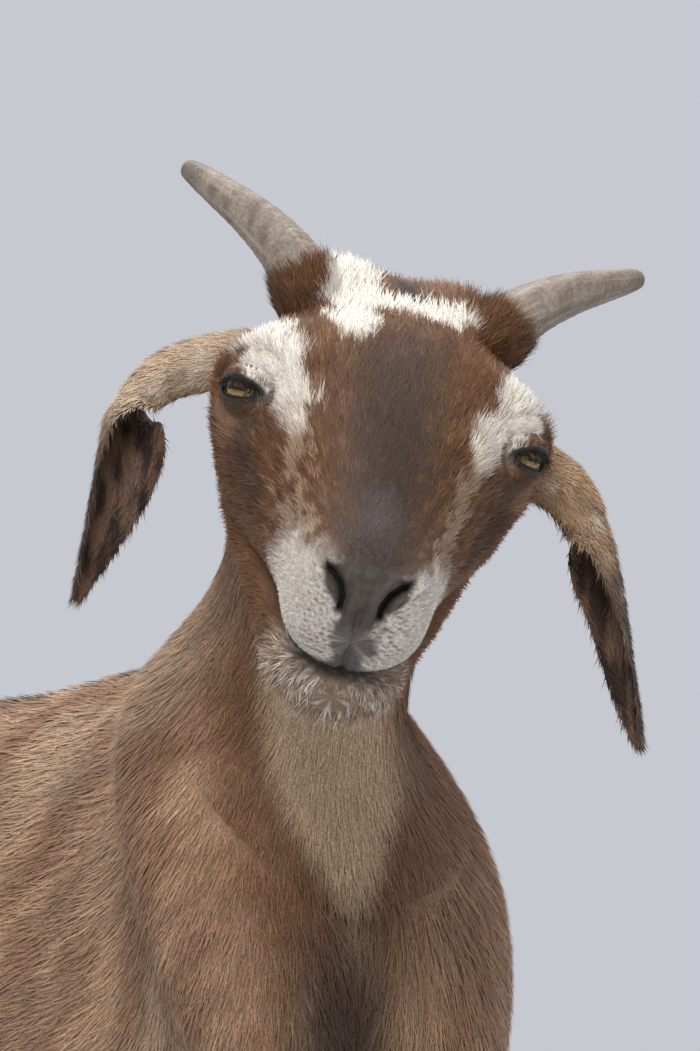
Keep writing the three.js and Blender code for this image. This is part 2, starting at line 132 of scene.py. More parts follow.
def set_stage():
    """A pale plain floor, an even pale sky and two large soft lamps."""
    world = bpy.data.worlds.new("pale_sky")
    world.use_nodes = True
    background = world.node_tree.nodes["Background"]
    background.inputs[0].default_value = (0.565, 0.585, 0.63, 1)
    background.inputs[1].default_value = 1.0
    bpy.context.scene.world = world
    bpy.context.scene.view_settings.view_transform = "Standard"
    area_light("soft_key", (-2.0, -2.6, 3.6), (-0.1, -0.35, 0.8), 1.6, 95, (1.0, 0.98, 0.95))
    area_light("soft_top", (0.6, 0.6, 3.4), (0, -0.1, 0.7), 2.0, 60)
    n = 9
    x, y = np.meshgrid(np.linspace(-2.4, 2.4, n), np.linspace(-2.4, 2.4, n), indexing="ij")
    points = np.stack([x, y, np.full_like(x, -0.0015)], -1).reshape(-1, 3)
    i = np.arange(n - 1)
    a = (i[:, None] * n + i).ravel()
    floor = put("floor", points, np.stack([a, a + n, a + n + 1, a + 1], 1), smooth=False)
    floor.data.materials.append(plain_floor())


# ---- mesh making ------------------------------------------------------------------------------------
def put(name, points, quads=None, triangles=None, colours=None, smooth=True, flat_from=None):
    """Arrays of points (metres) and faces to an object at the origin; colours is one RGB row a point."""
    quads = np.zeros((0, 4), int) if quads is None else quads
    triangles = np.zeros((0, 3), int) if triangles is None else triangles
    mesh = bpy.data.meshes.new(name)
    mesh.vertices.add(len(points))
    mesh.vertices.foreach_set("co", np.asarray(points, np.float32).ravel())
    loops = np.concatenate([quads.ravel(), triangles.ravel()]).astype(np.int32)
    starts = np.concatenate([np.arange(len(quads)) * 4,
                             len(quads) * 4 + np.arange(len(triangles)) * 3]).astype(np.int32)
    mesh.loops.add(len(loops))
    mesh.loops.foreach_set("vertex_index", loops)
    mesh.polygons.add(len(starts))
    mesh.polygons.foreach_set("loop_start", starts)
    shade = np.full(len(starts), smooth)
    if flat_from is not None:
        shade[flat_from:] = False
    mesh.polygons.foreach_set("use_smooth", shade)
    mesh.update(calc_edges=True)
    mesh.validate()
    if colours is not None:
        layer = mesh.color_attributes.new(name="coat", type="FLOAT_COLOR", domain="POINT")
        rgba = np.concatenate([np.clip(colours, 0, 1), np.ones((len(points), 1))], 1)
        layer.data.foreach_set("color", rgba.astype(np.float32).ravel())
    made = bpy.data.objects.new(name, mesh)
    bpy.context.scene.collection.objects.link(made)
    return made


def run(rows, count=None, at=None):
    """Catmull-Rom run through rows: each step is a cubic between two rows, steered by their neighbours."""
    rows = np.asarray(rows, float)
    last = len(rows) - 1
    t = np.linspace(0, last, count) if at is None else np.asarray(at, float)
    i = np.clip(t.astype(int), 0, last - 1)
    f = (t - i)[:, None]
    a, b, c, d = (rows[np.clip(i + k, 0, last)] for k in (-1, 0, 1, 2))
    return b + 0.5 * f * (c - a + f * (2 * a - 5 * b + 4 * c - d + f * (3 * (b - c) + d - a)))


def even_steps(rows, columns, spacing, first, last):
    """Positions along rows, from first to last, whose points in the given columns are spacing apart."""
    t = np.linspace(first, last, 2000)
    p = run(rows, at=t)[:, columns]
    s = np.concatenate([[0], np.cumsum(np.linalg.norm(np.diff(p, axis=0), axis=1))])
    count = max(int(s[-1] / spacing) + 1, 4)
    return np.interp(np.linspace(0, s[-1], count), s, t)


def unit(v):
    return v / np.maximum(np.linalg.norm(v, axis=-1, keepdims=True), 1e-9)


def rings(middle, across, high, width, height, power, egg, around):
    """Ring grid: each ring is middle + across*width*X + high*height*Y, where X and Y are cos and sin of the
    turn raised to 2/power (a rounded box when power is over 2), and X grows by egg*Y."""
    turn = np.linspace(0, 2 * np.pi, around, endpoint=False)
    c, s = np.cos(turn)[None], np.sin(turn)[None]
    p = 2 / np.asarray(power, float)[:, None]
    y = np.sign(s) * np.abs(s) ** p
    x = np.sign(c) * np.abs(c) ** p * (1 + np.asarray(egg, float)[:, None] * y)
    grid = (middle[:, None] + across[:, None] * (width[:, None] * x)[..., None]
            + high[:, None] * (height[:, None] * y)[..., None])
    return grid, x, y


def normals_of(grid):
    """Outward unit normals of a ring grid: the cross of its two central differences, turned outwards."""
    along = np.gradient(grid, axis=0)
    round_ = np.roll(grid, -1, 1) - np.roll(grid, 1, 1)
    n = unit(np.cross(round_, along))
    out = grid - grid.mean(1, keepdims=True)
    if (n * out).sum() < 0:
        n = -n
    return n


def tube_faces(rows, around, start=0):
    """Quads of a ring grid, closed round, and the two triangle fans that close its ends on pole points."""
    r, k = np.meshgrid(np.arange(rows - 1), np.arange(around), indexing="ij")
    a, b = (r * around + k).ravel(), (r * around + (k + 1) % around).ravel()
    quads = np.stack([a, b, b + around, a + around], 1) + start
    k = np.arange(around)
    first, last = rows * around, rows * around + 1
    near = np.stack([(k + 1) % around, k, np.full(around, first)], 1)
    far = np.stack([k + (rows - 1) * around, (k + 1) % around + (rows - 1) * around,
                    np.full(around, last)], 1)
    return quads, np.concatenate([near, far]) + start


def closed_tube(grid, pull=0.0):
    """Points and faces of a ring grid with both ends closed, and the faces turned to point outwards."""
    rows, around = grid.shape[:2]
    ends = np.stack([grid[0].mean(0), grid[-1].mean(0)])
    points = np.concatenate([grid.reshape(-1, 3), ends])
    quads, triangles = tube_faces(rows, around)
    a, b, c = points[quads[:, 0]], points[quads[:, 1]], points[quads[:, 2]]
    volume = np.einsum("ij,ij->i", a, np.cross(b, c)).sum() \
        + np.einsum("ij,ij->i", a, np.cross(c, points[quads[:, 3]])).sum()
    tri = points[triangles]
    volume += np.einsum("ij,ij->i", tri[:, 0], np.cross(tri[:, 1], tri[:, 2])).sum()
    if volume < 0:
        quads, triangles = quads[:, ::-1], triangles[:, ::-1]
    return points, quads, triangles


def ripple(p, size, seed, waves=7):
    """Smooth unevenness from -1 to 1: the mean of sine waves of about that size in scattered directions."""
    r = np.random.default_rng(seed)
    k = unit(r.normal(size=(waves, 3))) * (2 * np.pi / size) * r.uniform(0.6, 1.7, (waves, 1))
    return np.sin(p @ k.T + r.uniform(0, 6.283, waves)).sum(-1) / math.sqrt(waves) / 1.2


def step(x, low, high):
    """0 below low, 1 above high, and the smooth cubic between."""
    t = np.clip((x - low) / (high - low), 0, 1)
    return t * t * (3 - 2 * t)


def mix(a, b, w):
    return a + (b - a) * w[..., None]


def paint(r, g, b):
    """A colour as the eye sees it, 0 to 255, made linear."""
    c = np.array([r, g, b], float) / 255
    return np.where(c <= 0.04045, c / 12.92, ((c + 0.055) / 1.055) ** 2.4)


# ---- coat colours -----------------------------------------------------------------------------------
RED_BROWN, DEEP_BROWN, FOREHEAD = paint(122, 82, 52), paint(84, 57, 38), paint(94, 73, 60)
WHITE, CREAM, TAN, FAWN = paint(240, 232, 220), paint(208, 184, 156), paint(184, 150, 120), paint(156, 121, 94)
SLATE, UMBER, LID = paint(104, 98, 98), paint(62, 48, 40), paint(52, 40, 33)


def near_line(s, f, a, b, spread):
    """1 on the line from a to b across the face, falling to 0 at spread away from it."""
    a, b = np.array(a, float), np.array(b, float)
    d = b - a
    t = np.clip(((s - a[0]) * d[0] + (f - a[1]) * d[1]) / (d @ d), 0, 1)
    away = np.hypot(s - a[0] - t * d[0], f - a[1] - t * d[1])
    return 1 - step(away, spread * 0.62, spread)


def head_coat(p):
    """The face's markings from where a point lies: left, forward and up from the skull joint."""
    h = to_head(p)
    wob = ripple(p, 16, 3) * 3.0 + ripple(p, 6, 4) * 1.6
    s, f, u = h[..., 0] + wob, h[..., 1] + ripple(p, 14, 5) * 3.0, h[..., 2]
    side = np.abs(s)
    grain = ripple(p, 7, 6) + 0.7 * ripple(p, 3.2, 7)
    colour = mix(np.broadcast_to(RED_BROWN, p.shape), DEEP_BROWN, 0.8 * step(grain, -0.7, 1.3))
    colour = mix(colour, TAN * 0.85, 0.4 * step(-grain, 0.4, 1.5))
    colour = mix(colour, DEEP_BROWN, 0.45 * step(-u, 5, 50) * step(f, 20, 60))
    colour = mix(colour, DEEP_BROWN, 0.5 * step(side, 46, 56) * step(f, 95, 120) * step(u, -30, 0))
    front = step(u + 0.12 * f, 30, 44)
    colour = mix(colour, FOREHEAD, front * (1 - step(side, 8, 34)) * step(f, 44, 84))
    colour = mix(colour, UMBER, 0.65 * front * (1 - step(side, 4, 24)) * step(f, 84, 130))
    colour = mix(colour, SLATE, 0.45 * (1 - step(np.hypot(side * 1.3, f - 174), 4, 17)) * step(u, 18, 26))
    for k in (1, -1):
        brow = np.maximum(near_line(s, f, (68 * k, 46), (56 * k, 90), 14), near_line(s, f, (56 * k, 90), (45 * k, 116), 12))
        brow = brow * step(u, 22, 32)
        grizzle = mix(np.broadcast_to(WHITE, p.shape), FAWN, 0.42 * step(grain, -0.2, 1.4))
        colour = mix(colour, grizzle, brow)
        stripe = near_line(s, f, (43 * k, 112), (30 * k, 178), 3.6) * step(u, -8, 8)
        colour = mix(colour, CREAM, 0.42 * stripe)
    white = np.maximum(near_line(s, f, (-26, -8), (-24, 62), 14), near_line(s, f, (-18, 36), (22, 34), 10.5))
    colour = mix(colour, WHITE, white * step(u, 10, 24))
    colour = mix(colour, UMBER, near_line(s, f, (2, 0), (0, 22), 6) * step(u, 20, 32))
    muzzle = step(side + 0.9 * (f - 176) - 0.55 * (u - 2), 18, 34) * step(f, 150, 168)
    muzzle = np.maximum(muzzle, step(f, 186, 194) * (1 - step(u, -8, 0)))
    muzzle = muzzle * (1 - 0.9 * step(u, 16, 24)) * (1 - 0.55 * (1 - step(side, 3, 12)) * step(f, 190, 200))
    pale = mix(np.broadcast_to(WHITE * 0.9, p.shape), TAN * 0.85, 0.5 * step(ripple(p, 3.0, 8), -0.4, 1.3))
    colour = mix(colour, pale, muzzle * 0.92)
    speckle = step(ripple(p, 3.4, 9), 0.1, 0.9)
    lip = (1 - step(side, 4, 12)) * step(f, 194, 202) * (1 - step(u, -4, 4))
    colour = mix(colour, SLATE * 0.5, lip * 0.85)
    grey = (1 - step(side, 18, 36)) * step(f, 180, 198)
    colour = mix(colour, SLATE * 0.6, grey * speckle * 0.75)
    # a dark line along the lips' parting: painted shade in the crease between the lips
    mouth = step(f, 150, 165) * (1 - step(np.abs(u + 33), 1.5, 5))
    colour = mix(colour, SLATE * 0.4, 0.85 * mouth)
    colour = mix(colour, FAWN, 0.7 * near_line(side, u - 0.5 * f, (70, -36), (62, -46), 9) * step(side, 52, 60))
    tear = near_line(f, u, (96, 22), (112, 4), 5) * step(side, 42, 50)
    tear = np.maximum(tear, 0.7 * near_line(f, u, (112, 4), (136, -6), 8) * step(side, 30, 38))
    colour = mix(colour, UMBER, 0.65 * tear)
    behind = 1 - step(f, -6, 22)
    return mix(colour, FAWN, behind * (1 - step(u, 10, 40)))


def jaw_coat(p):
    """Red-brown cheeks, a cream underside and a pale grizzled chin."""
    h = to_head(p)
    side, f, u = np.abs(h[..., 0]), h[..., 1] + ripple(p, 12, 15) * 3, h[..., 2]
    colour = mix(np.broadcast_to(RED_BROWN, p.shape), DEEP_BROWN, 0.5 * step(ripple(p, 14, 17), -0.5, 1))
    colour = mix(colour, TAN, step(f, 50, 110) * (1 - step(u + 0.05 * f, -58, -48)))
    chin = step(f - 0.4 * side, 156, 170)
    grizzled = mix(np.broadcast_to(TAN * 0.62, p.shape), WHITE, 0.7 * step(ripple(p, 5, 16), -0.3, 1.1))
    colour = mix(colour, grizzled, chin)
    # the dark line along the lips' parting is painted shade in the crease between the lips
    return mix(colour, SLATE * 0.45, 0.8 * (1 - step(np.abs(u + 37), 1.5, 5)) * step(f, 168, 188))


def body_coat(p, under):
    """Trunk and neck: fawn with paler flecks, a cream throat line, a dark line along the back, and dark brown low on
    the chest, partly painted shade between the shoulders.
    under is 1 along the lowest line of a ring and -1 along its highest."""
    x, y, z = p[..., 0], p[..., 1], p[..., 2]
    flecks = ripple(p * np.array([1, 1, 0.45]), 46, 21) + 0.7 * ripple(p * np.array([1, 1, 0.5]), 19, 22)
    colour = mix(np.broadcast_to(FAWN, p.shape), TAN, step(flecks, -0.5, 1.3))
    colour = mix(colour, RED_BROWN, 0.4 * step(-flecks, 0.0, 1.8))
    across = p @ ACROSS_VIEW
    colour = mix(colour, CREAM * 0.92, 0.35 * step(ripple(p * np.array([1, 1, 0.5]), 95, 23), 0.0, 1.3))
    front = step(-y, 262, 320)
    throat_x = 156 + (760 - z) * 0.13
    colour = mix(colour, RED_BROWN, 0.75 * front * step(z, 600, 700) * (1 - step(np.abs(across - throat_x), 44, 74)))
    breadth = 27 * step(z, 655, 740) + 1
    stripe = 1 - step(np.abs(across - throat_x), breadth - 8, breadth + 9)
    colour = mix(colour, CREAM * np.array([1, 0.94, 0.86]), front * stripe * step(z, 640, 690) * step(under, -0.1, 0.3))
    # dark brown low down the middle of the chest: partly the coat's own darker brown, partly painted shade between the
    # shoulders
    dark = front * (1 - step(np.abs(across - 162), 8, 40)) * (1 - step(z, 630, 700))
    colour = mix(colour, UMBER, 0.9 * dark)
    back = step(-under + 0.02 * ripple(p, 20, 24), 0.972, 1.0)
    colour = mix(colour, UMBER, 0.8 * back * (1 - step(-y, 250, 300)))
    return mix(colour, CREAM, 0.65 * step(under, 0.86, 0.99) * step(y, -180, -60))


def leg_coat(p, top):
    """Fawn above, cream below the knee or hock, darker again just above the hoof."""
    z = p[..., 2] + ripple(p, 60, 31) * 16
    flecks = ripple(p * np.array([1, 1, 0.4]), 34, 32)
    colour = mix(np.broadcast_to(FAWN, p.shape), TAN, step(flecks, -0.4, 1.2))
    colour = mix(colour, RED_BROWN, 0.4 * step(-flecks, 0.0, 1.6))
    colour = mix(colour, CREAM, 0.8 * (1 - step(z, top - 60, top)))
    return mix(colour, UMBER, 0.6 * (1 - step(z, 50, 74)))


# ---- hair -------------------------------------------------------------------------------------------
def hair(grid, flow, length, width, colour_of, count, seed, lift=0.16, where=None, wild=0.16, tone=(0.82, 1.14),
         extra=None):
    """Hairs on a ring grid. Each is a closed thin spike: a three-cornered root on the skin and a tip along
    the flow, raised by lift. Cells are drawn by area times where; wild scatters the directions.
    Returns points (mm), triangles and colours."""
    r = np.random.default_rng(seed)
    rows, around = grid.shape[:2]
    normal = normals_of(grid)
    right = np.roll(grid, -1, 1)
    area = np.linalg.norm(np.cross(right[:-1] - grid[:-1], grid[1:] - grid[:-1]), axis=-1)
    if where is not None:
        area = area * where[:-1]
    chance = np.cumsum(area.ravel())
    cell = np.searchsorted(chance, r.uniform(0, chance[-1], count))
    i, j = cell // around, cell % around
    a, b = r.uniform(size=(2, count, 1))
    k = (j + 1) % around

    def pick(v):
        return (v[i, j] * (1 - a) + v[i + 1, j] * a) * (1 - b) + (v[i, k] * (1 - a) + v[i + 1, k] * a) * b
    root = pick(grid)
    up = unit(pick(normal))
    lay = pick(flow)
    lay = unit(lay + wild * r.normal(size=lay.shape) * np.linalg.norm(lay, axis=-1, keepdims=True))
    clump = np.stack([ripple(root, 9, seed + q) for q in (1, 2, 3)], -1)
    lay = lay + 0.14 * clump
    lay = unit(lay - up * (lay * up).sum(-1, keepdims=True))
    size = (length if np.ndim(length) == 0 else pick(length[..., None])) * r.uniform(0.7, 1.25, (count, 1))
    wide = (width if np.ndim(width) == 0 else pick(width[..., None])) * r.uniform(0.75, 1.25, (count, 1))
    rise = lift * r.uniform(0.35, 1.6, (count, 1))
    over = unit(np.cross(up, lay))
    tip = root + size * (lay * np.cos(rise) + up * np.sin(rise))
    base = root - 0.35 * up
    points = np.stack([base + over * wide / 2, base - over * wide / 2, base - up * wide * 0.35, tip], 1)
    n = np.arange(count)[:, None] * 4
    triangles = (n[:, None] + np.array([[0, 3, 1], [1, 3, 2], [2, 3, 0], [0, 1, 2]])[None]).reshape(-1, 3)
    tint = colour_of(root) if extra is None else colour_of(root, pick(extra[..., None])[:, 0])
    tint = tint * r.normal(1, 0.13, (count, 1)).clip(0.6, 1.5)
    # the three root corners are darkened by tone[0], painted shade at the roots; the tip is lightened by tone[1] for
    # the hair's own paler tips
    colours = np.stack([tint * tone[0]] * 3 + [tint * tone[1]], 1)
    return points.reshape(-1, 3), triangles, colours.reshape(-1, 3)


def flow_on(grid, direction):
    """Directions (an array or one vector) laid flat on the skin."""
    n = normals_of(grid)
    d = np.broadcast_to(np.asarray(direction, float), grid.shape)
    return d - n * (d * n).sum(-1, keepdims=True)


def coated(name, grid, colours, hairs, material, both=True):
    """One piece of hide: the closed skin and its hairs in a single mesh."""
    skin, quads, triangles = closed_tube(grid)
    # the skin under the hair takes the coat colours darkened to 0.76: painted shade between the hairs
    shaded_skin_colours = np.concatenate([colours.reshape(-1, 3), colours[0, :1], colours[-1, :1]]) * 0.76
    points, faces, tints = [skin], [triangles], [shaded_skin_colours]
    start = len(skin)
    for p, t, c in hairs:
        points.append(p)
        faces.append(t + start)
        tints.append(c)
        start += len(p)
    made = put(name, metres(np.concatenate(points)), quads, np.concatenate(faces),
               np.concatenate(tints), flat_from=len(quads) + len(triangles))
    made.data.materials.append(material)
    return made


# ---- materials --------------------------------------------------------------------------------------
def material(name, base=(0.5, 0.5, 0.5), roughness=0.7, specular=0.4):
    made = bpy.data.materials.new(name)
    made.use_nodes = True
    shader = made.node_tree.nodes["Principled BSDF"]
    shader.inputs["Base Color"].default_value = (*base, 1)
    shader.inputs["Roughness"].default_value = roughness
    shader.inputs["Specular IOR Level"].default_value = specular
    return made, made.node_tree, shader


def node(tree, kind, **settings):
    made = tree.nodes.new(kind)
    for key, value in settings.items():
        if key in made.inputs:
            made.inputs[key].default_value = value
        else:
            setattr(made, key, value)
    return made


def coat_material(name, roughness, fleck=0.35, scale=900.0):
    """Colour from the coat attribute, broken up by fine noise on Object coordinates, and a little sheen."""
    made, tree, shader = material(name, roughness=roughness, specular=0.25)
    link = tree.links.new
    coat = node(tree, "ShaderNodeAttribute", attribute_name="coat")
    where = node(tree, "ShaderNodeTexCoord")
    noise = node(tree, "ShaderNodeTexNoise", Scale=scale, Detail=3.0)
    link(where.outputs["Object"], noise.inputs["Vector"])
    shade = node(tree, "ShaderNodeMapRange")
    shade.inputs["From Min"].default_value, shade.inputs["From Max"].default_value = 0.3, 0.7
    shade.inputs["To Min"].default_value, shade.inputs["To Max"].default_value = 1 - fleck, 1 + fleck
    link(noise.outputs["Fac"], shade.inputs["Value"])
    blend = node(tree, "ShaderNodeVectorMath", operation="SCALE")
    link(coat.outputs["Color"], blend.inputs[0])
    link(shade.outputs["Result"], blend.inputs["Scale"])
    link(blend.outputs["Vector"], shader.inputs["Base Color"])
    shader.inputs["Sheen Weight"].default_value = 0.08
    shader.inputs["Sheen Roughness"].default_value = 0.5
    return made


def patterned(name, low, high, scale, roughness=(0.5, 0.7), bump=0.2, specular=0.4, stretch=(1, 1, 1), detail=4.0):
    """Two colours mixed by noise on Object coordinates; the same noise drives roughness and bump."""
    made, tree, shader = material(name, roughness=roughness[0], specular=specular)
    link = tree.links.new
    where = node(tree, "ShaderNodeTexCoord")
    fit = node(tree, "ShaderNodeMapping")
    fit.inputs["Scale"].default_value = stretch
    noise = node(tree, "ShaderNodeTexNoise", Scale=scale, Detail=detail)
    link(where.outputs["Object"], fit.inputs["Vector"])
    link(fit.outputs["Vector"], noise.inputs["Vector"])
    ramp = node(tree, "ShaderNodeValToRGB")
    ramp.color_ramp.elements[0].position, ramp.color_ramp.elements[1].position = 0.32, 0.68
    ramp.color_ramp.elements[0].color, ramp.color_ramp.elements[1].color = (*low, 1), (*high, 1)
    link(noise.outputs["Fac"], ramp.inputs["Fac"])
    link(ramp.outputs["Color"], shader.inputs["Base Color"])
    rough = node(tree, "ShaderNodeMapRange")
    rough.inputs["To Min"].default_value, rough.inputs["To Max"].default_value = roughness
    link(noise.outputs["Fac"], rough.inputs["Value"])
    link(rough.outputs["Result"], shader.inputs["Roughness"])
    raised = node(tree, "ShaderNodeBump", Strength=bump, Distance=0.001)
    link(noise.outputs["Fac"], raised.inputs["Height"])
    link(raised.outputs["Normal"], shader.inputs["Normal"])
    return made


def attribute_skin(name, roughness, scale, bump, specular=0.4, fleck=0.2):
    """Colour from the coat attribute with noise; the noise also raises the surface."""
    made = coat_material(name, roughness, fleck, scale)
    tree = made.node_tree
    shader = tree.nodes["Principled BSDF"]
    shader.inputs["Specular IOR Level"].default_value = specular
    noise = next(n for n in tree.nodes if n.bl_idname == "ShaderNodeTexNoise")
    raised = node(tree, "ShaderNodeBump", Strength=bump, Distance=0.001)
    tree.links.new(noise.outputs["Fac"], raised.inputs["Height"])
    tree.links.new(raised.outputs["Normal"], shader.inputs["Normal"])
    return made


def plain_floor():
    return patterned("floor_paper", (0.55, 0.56, 0.58), (0.6, 0.61, 0.63), 3.0, (0.8, 0.9), 0.02)


COAT = coat_material("short_coat", 0.62)
FACE_COAT = coat_material("face_coat", 0.6, 0.28, 1400.0)
HORN_SKIN = attribute_skin("ringed_horn", 0.55, 700.0, 0.25, 0.35, 0.22)
HOOF_SKIN = attribute_skin("hoof_wall", 0.5, 500.0, 0.2, 0.4, 0.25)
NOSE_SKIN = attribute_skin("nose_leather", 0.42, 900.0, 0.35, 0.5, 0.2)
LID_SKIN = attribute_skin("lid_skin", 0.5, 1500.0, 0.2, 0.4, 0.2)
EAR_COAT = coat_material("ear_coat", 0.65, 0.3, 1200.0)
WET_EYE, _tree, _shader = material("wet_eye", roughness=0.06, specular=0.6)
_coat = node(_tree, "ShaderNodeAttribute", attribute_name="coat")
_tree.links.new(_coat.outputs["Color"], _shader.inputs["Base Color"])
_shader.inputs["Coat Weight"].default_value = 0.6
_shader.inputs["Coat Roughness"].default_value = 0.03

# ---- trunk, neck and head as one run of rings ---------------------------------------------------------
X = (1.0, 0.0, 0.0)


def turned(w):
    return tuple(unit(np.array(X) * (1 - w) + LEFT * w))


def body_row(x, yd, zd, yv, zv, width, power=2.2, egg=0.0, turn=0.0):
    return [x, yd, zd, x, yv, zv, *turned(turn), width, power, egg]


def head_row(fd, ud, fv, uv, width, power=2.3, egg=0.0):
    return [*from_head([0, fd, ud]), *from_head([0, fv, uv]), *LEFT, width, power, egg]


BODY_ROWS = [
    body_row(0, 402, 640, 402, 596, 8), body_row(0, 392, 684, 395, 552, 54), body_row(0, 368, 712, 368, 508, 94),
    body_row(0, 320, 726, 318, 480, 119, 2.3), body_row(0, 240, 734, 236, 446, 132, 2.3, -0.04),
    body_row(0, 150, 736, 146, 410, 146, 2.2, -0.10), body_row(0, 50, 744, 44, 392, 152, 2.2, -0.12),
    body_row(0, -44, 754, -56, 398, 146, 2.2, -0.14), body_row(0, -108, 766, -138, 412, 130, 2.2, -0.16),
    body_row(0, -148, 773, -212, 426, 114, 2.2, -0.14), body_row(-6, -170, 776, -275, 444, 102, 2.2, -0.10),
    body_row(-12, -187, 779, -325, 474, 92, 2.2, -0.08), body_row(-18, -199, 782, -356, 520, 88, 2.2, -0.06),
    body_row(-25, -209, 786, -368, 574, 97, 2.2, -0.08), body_row(-28, -219, 792, -370, 626, 92, 2.2, -0.08),
    body_row(-31, -230, 803, -366, 672, 72, 2.2, -0.05), body_row(-33, -243, 819, -358, 712, 49),
    body_row(-34, -256, 840, -356, 746, 38), body_row(-35, -270, 866, -366, 790, 38, turn=0.1),
    body_row(-38, -290, 893, -379, 830, 39, turn=0.3), body_row(-43, -315, 918, -385, 860, 42, turn=0.6),
]
ROW_LOWER, ROW_UPPER, ROW_TOP = 15, 18, 20
HEAD_ROWS = [
    BODY_ROWS[19], BODY_ROWS[20],
    head_row(-34, 4, 30, -46, 45), head_row(-27, 24, 40, -52, 47), head_row(-11, 37, 50, -55, 49),
    head_row(13, 45, 58, -56, 51), head_row(40, 51, 68, -56, 58), head_row(62, 54, 78, -55, 63, 2.4, -0.08),
    head_row(85, 53, 90, -53, 63, 2.4, -0.12), head_row(108, 48, 108, -50, 60, 2.4, -0.12),
    head_row(130, 42, 128, -46, 51, 2.4, -0.12), head_row(150, 36, 147, -41, 43, 2.4, -0.10),
    head_row(168, 31, 166, -37.5, 37, 2.4, -0.05), head_row(182, 27, 182, -37, 34, 2.4),
    head_row(192, 22.5, 193, -36.5, 31.5, 2.3), head_row(200, 15, 201, -35, 27, 2.2),
    head_row(205, 5, 206, -30, 20, 2.1), head_row(207.5, -8, 208, -21, 9, 2.0),
]


def body_rings(rows, first, last, spacing, around):
    """Rings between two rows of the body, evenly spaced down its middle."""
    rows = np.array(rows)
    middle = np.concatenate([(rows[:, :3] + rows[:, 3:6]) / 2, rows[:, 6:]], 1)
    at = even_steps(middle, slice(0, 3), spacing, first, last)
    r = run(rows, at=at)
    r[:, 10:] = np.stack([np.interp(at, np.arange(len(rows)), rows[:, k]) for k in (10, 11)], 1)
    half = (r[:, :3] - r[:, 3:6]) / 2
    tall = np.linalg.norm(half, axis=1)
    grid, x, y = rings((r[:, :3] + r[:, 3:6]) / 2, unit(r[:, 6:9]), half / tall[:, None],
                       np.maximum(r[:, 9], 0.5), tall, r[:, 10], r[:, 11], around)
    return grid, y


def swell(grid, spots, mirror=True):
    """Pushes the skin out along its normal: the sum over spots of height * exp(-distance squared), with the
    distance measured in radii. A spot is x, y, z, three radii and a height."""
    n = normals_of(grid)
    push = np.zeros(grid.shape[:2])
    for x, y, z, rx, ry, rz, h in spots:
        for k in ((1, -1) if mirror else (1,)):
            d = (grid - np.array([x * k, y, z])) / np.array([rx, ry, rz])
            push += h * np.exp(-(d ** 2).sum(-1))
    return grid + n * push[..., None]


def swell_head(grid, spots):
    n = normals_of(grid)
    h = to_head(grid)
    push = np.zeros(grid.shape[:2])
    for s, f, u, rs, rf, ru, height in spots:
        for k in ((1, -1) if s else (1,)):
            d = (h - np.array([s * k, f, u])) / np.array([rs, rf, ru])
            push += height * np.exp(-(d ** 2).sum(-1))
    return grid + n * push[..., None]


BODY_SPOTS = [
    (95, 330, 700, 40, 40, 30, 9), (100, 250, 690, 50, 60, 40, 5), (150, 120, 520, 60, 120, 80, 3),
    (60, -150, 730, 40, 50, 40, 5), (118, 180, 640, 40, 60, 40, -6), (110, -120, 660, 60, 50, 60, -4)]
CHEST_SPOTS = [(-48, -372, 600, 16, 50, 110, -11), (10, -372, 610, 30, 40, 80, 4), (-105, -330, 640, 34, 50, 70, 6),
               (-70, -320, 735, 18, 40, 60, -5), (0, 0, 770, 30, 300, 14, 2)]


def body_pieces():
    """Trunk with the neck's root, middle of the neck and top of the neck: they meet on shared rows."""
    spans = [("trunk_hide", 0, ROW_LOWER, 7.0, 132, "trunk", "lower_neck"),
             ("mid_neck_hide", ROW_LOWER, ROW_UPPER, 4.0, 132, "lower_neck", "upper_neck"),
             ("upper_neck_hide", ROW_UPPER, ROW_TOP, 4.0, 132, "upper_neck", "neck_top")]
    lean = {"trunk_hide": ("neck_raise", (-0.12, -0.62, 0.775), 15, 90),
            "mid_neck_hide": ("neck_side_bend", (-0.10, -0.595, 0.80), -27, 40),
            "upper_neck_hide": ("head_turn", (-0.17, -0.466, 0.867), -42, 36)}
    parts = {"trunk_hide": [(-9999, -300, 0.85, 1.0, 23000), (-300, -230, 0.9, 1.05, 22000),
                            (-230, -110, 1.0, 1.3, 24000), (-110, 60, 1.25, 1.9, 14000),
                            (60, 230, 1.25, 1.9, 14000), (230, 9999, 1.25, 1.9, 12000)],
             "mid_neck_hide": [(-9999, 9999, 0.8, 0.85, 25000)],
             "upper_neck_hide": [(-9999, 9999, 0.75, 0.8, 20000)]}
    for name, first, last, spacing, around, a, b in spans:
        grid, y = body_rings(BODY_ROWS, first, last, spacing, around)
        if name == "trunk_hide":
            grid = swell(swell(grid, BODY_SPOTS), CHEST_SPOTS, mirror=False)
        down = step(-grid[..., 1], 190, 300)[..., None]
        flow = flow_on(grid, (0, 0.85, -0.4)) * (1 - down) + flow_on(grid, (0.02, 0.30, -1)) * down
        colours = body_coat(grid, -y)
        joint, d, start, end = lean[name]
        d, at = unit(np.array(d)), joint_at(joint)
        skin = coated(name, grid, colours, [], COAT)
        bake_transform(skin)
        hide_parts(*{"trunk_hide": ["trunk", "lower_neck"], "mid_neck_hide": ["upper_neck"],
                            "upper_neck_hide": ["neck_top"]}[name])
        for n, (low, high, long_, wide, count) in enumerate(parts[name]):
            where = ((grid[..., 1] >= low) & (grid[..., 1] < high)).astype(float)
            shag = 15 * long_ + 9 * step(-y, 0.75, 1.0) * (name == "trunk_hide")
            tufts = hair(grid, flow, shag, wide, body_coat, count, 40 + n + 7 * first, 0.14, where, extra=-y)
            fur = put(f"{name[:-5]}_hair_{n + 1}", metres(tufts[0]), triangles=tufts[1], colours=tufts[2],
                      smooth=False)
            fur.data.materials.append(COAT)
            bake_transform(fur)


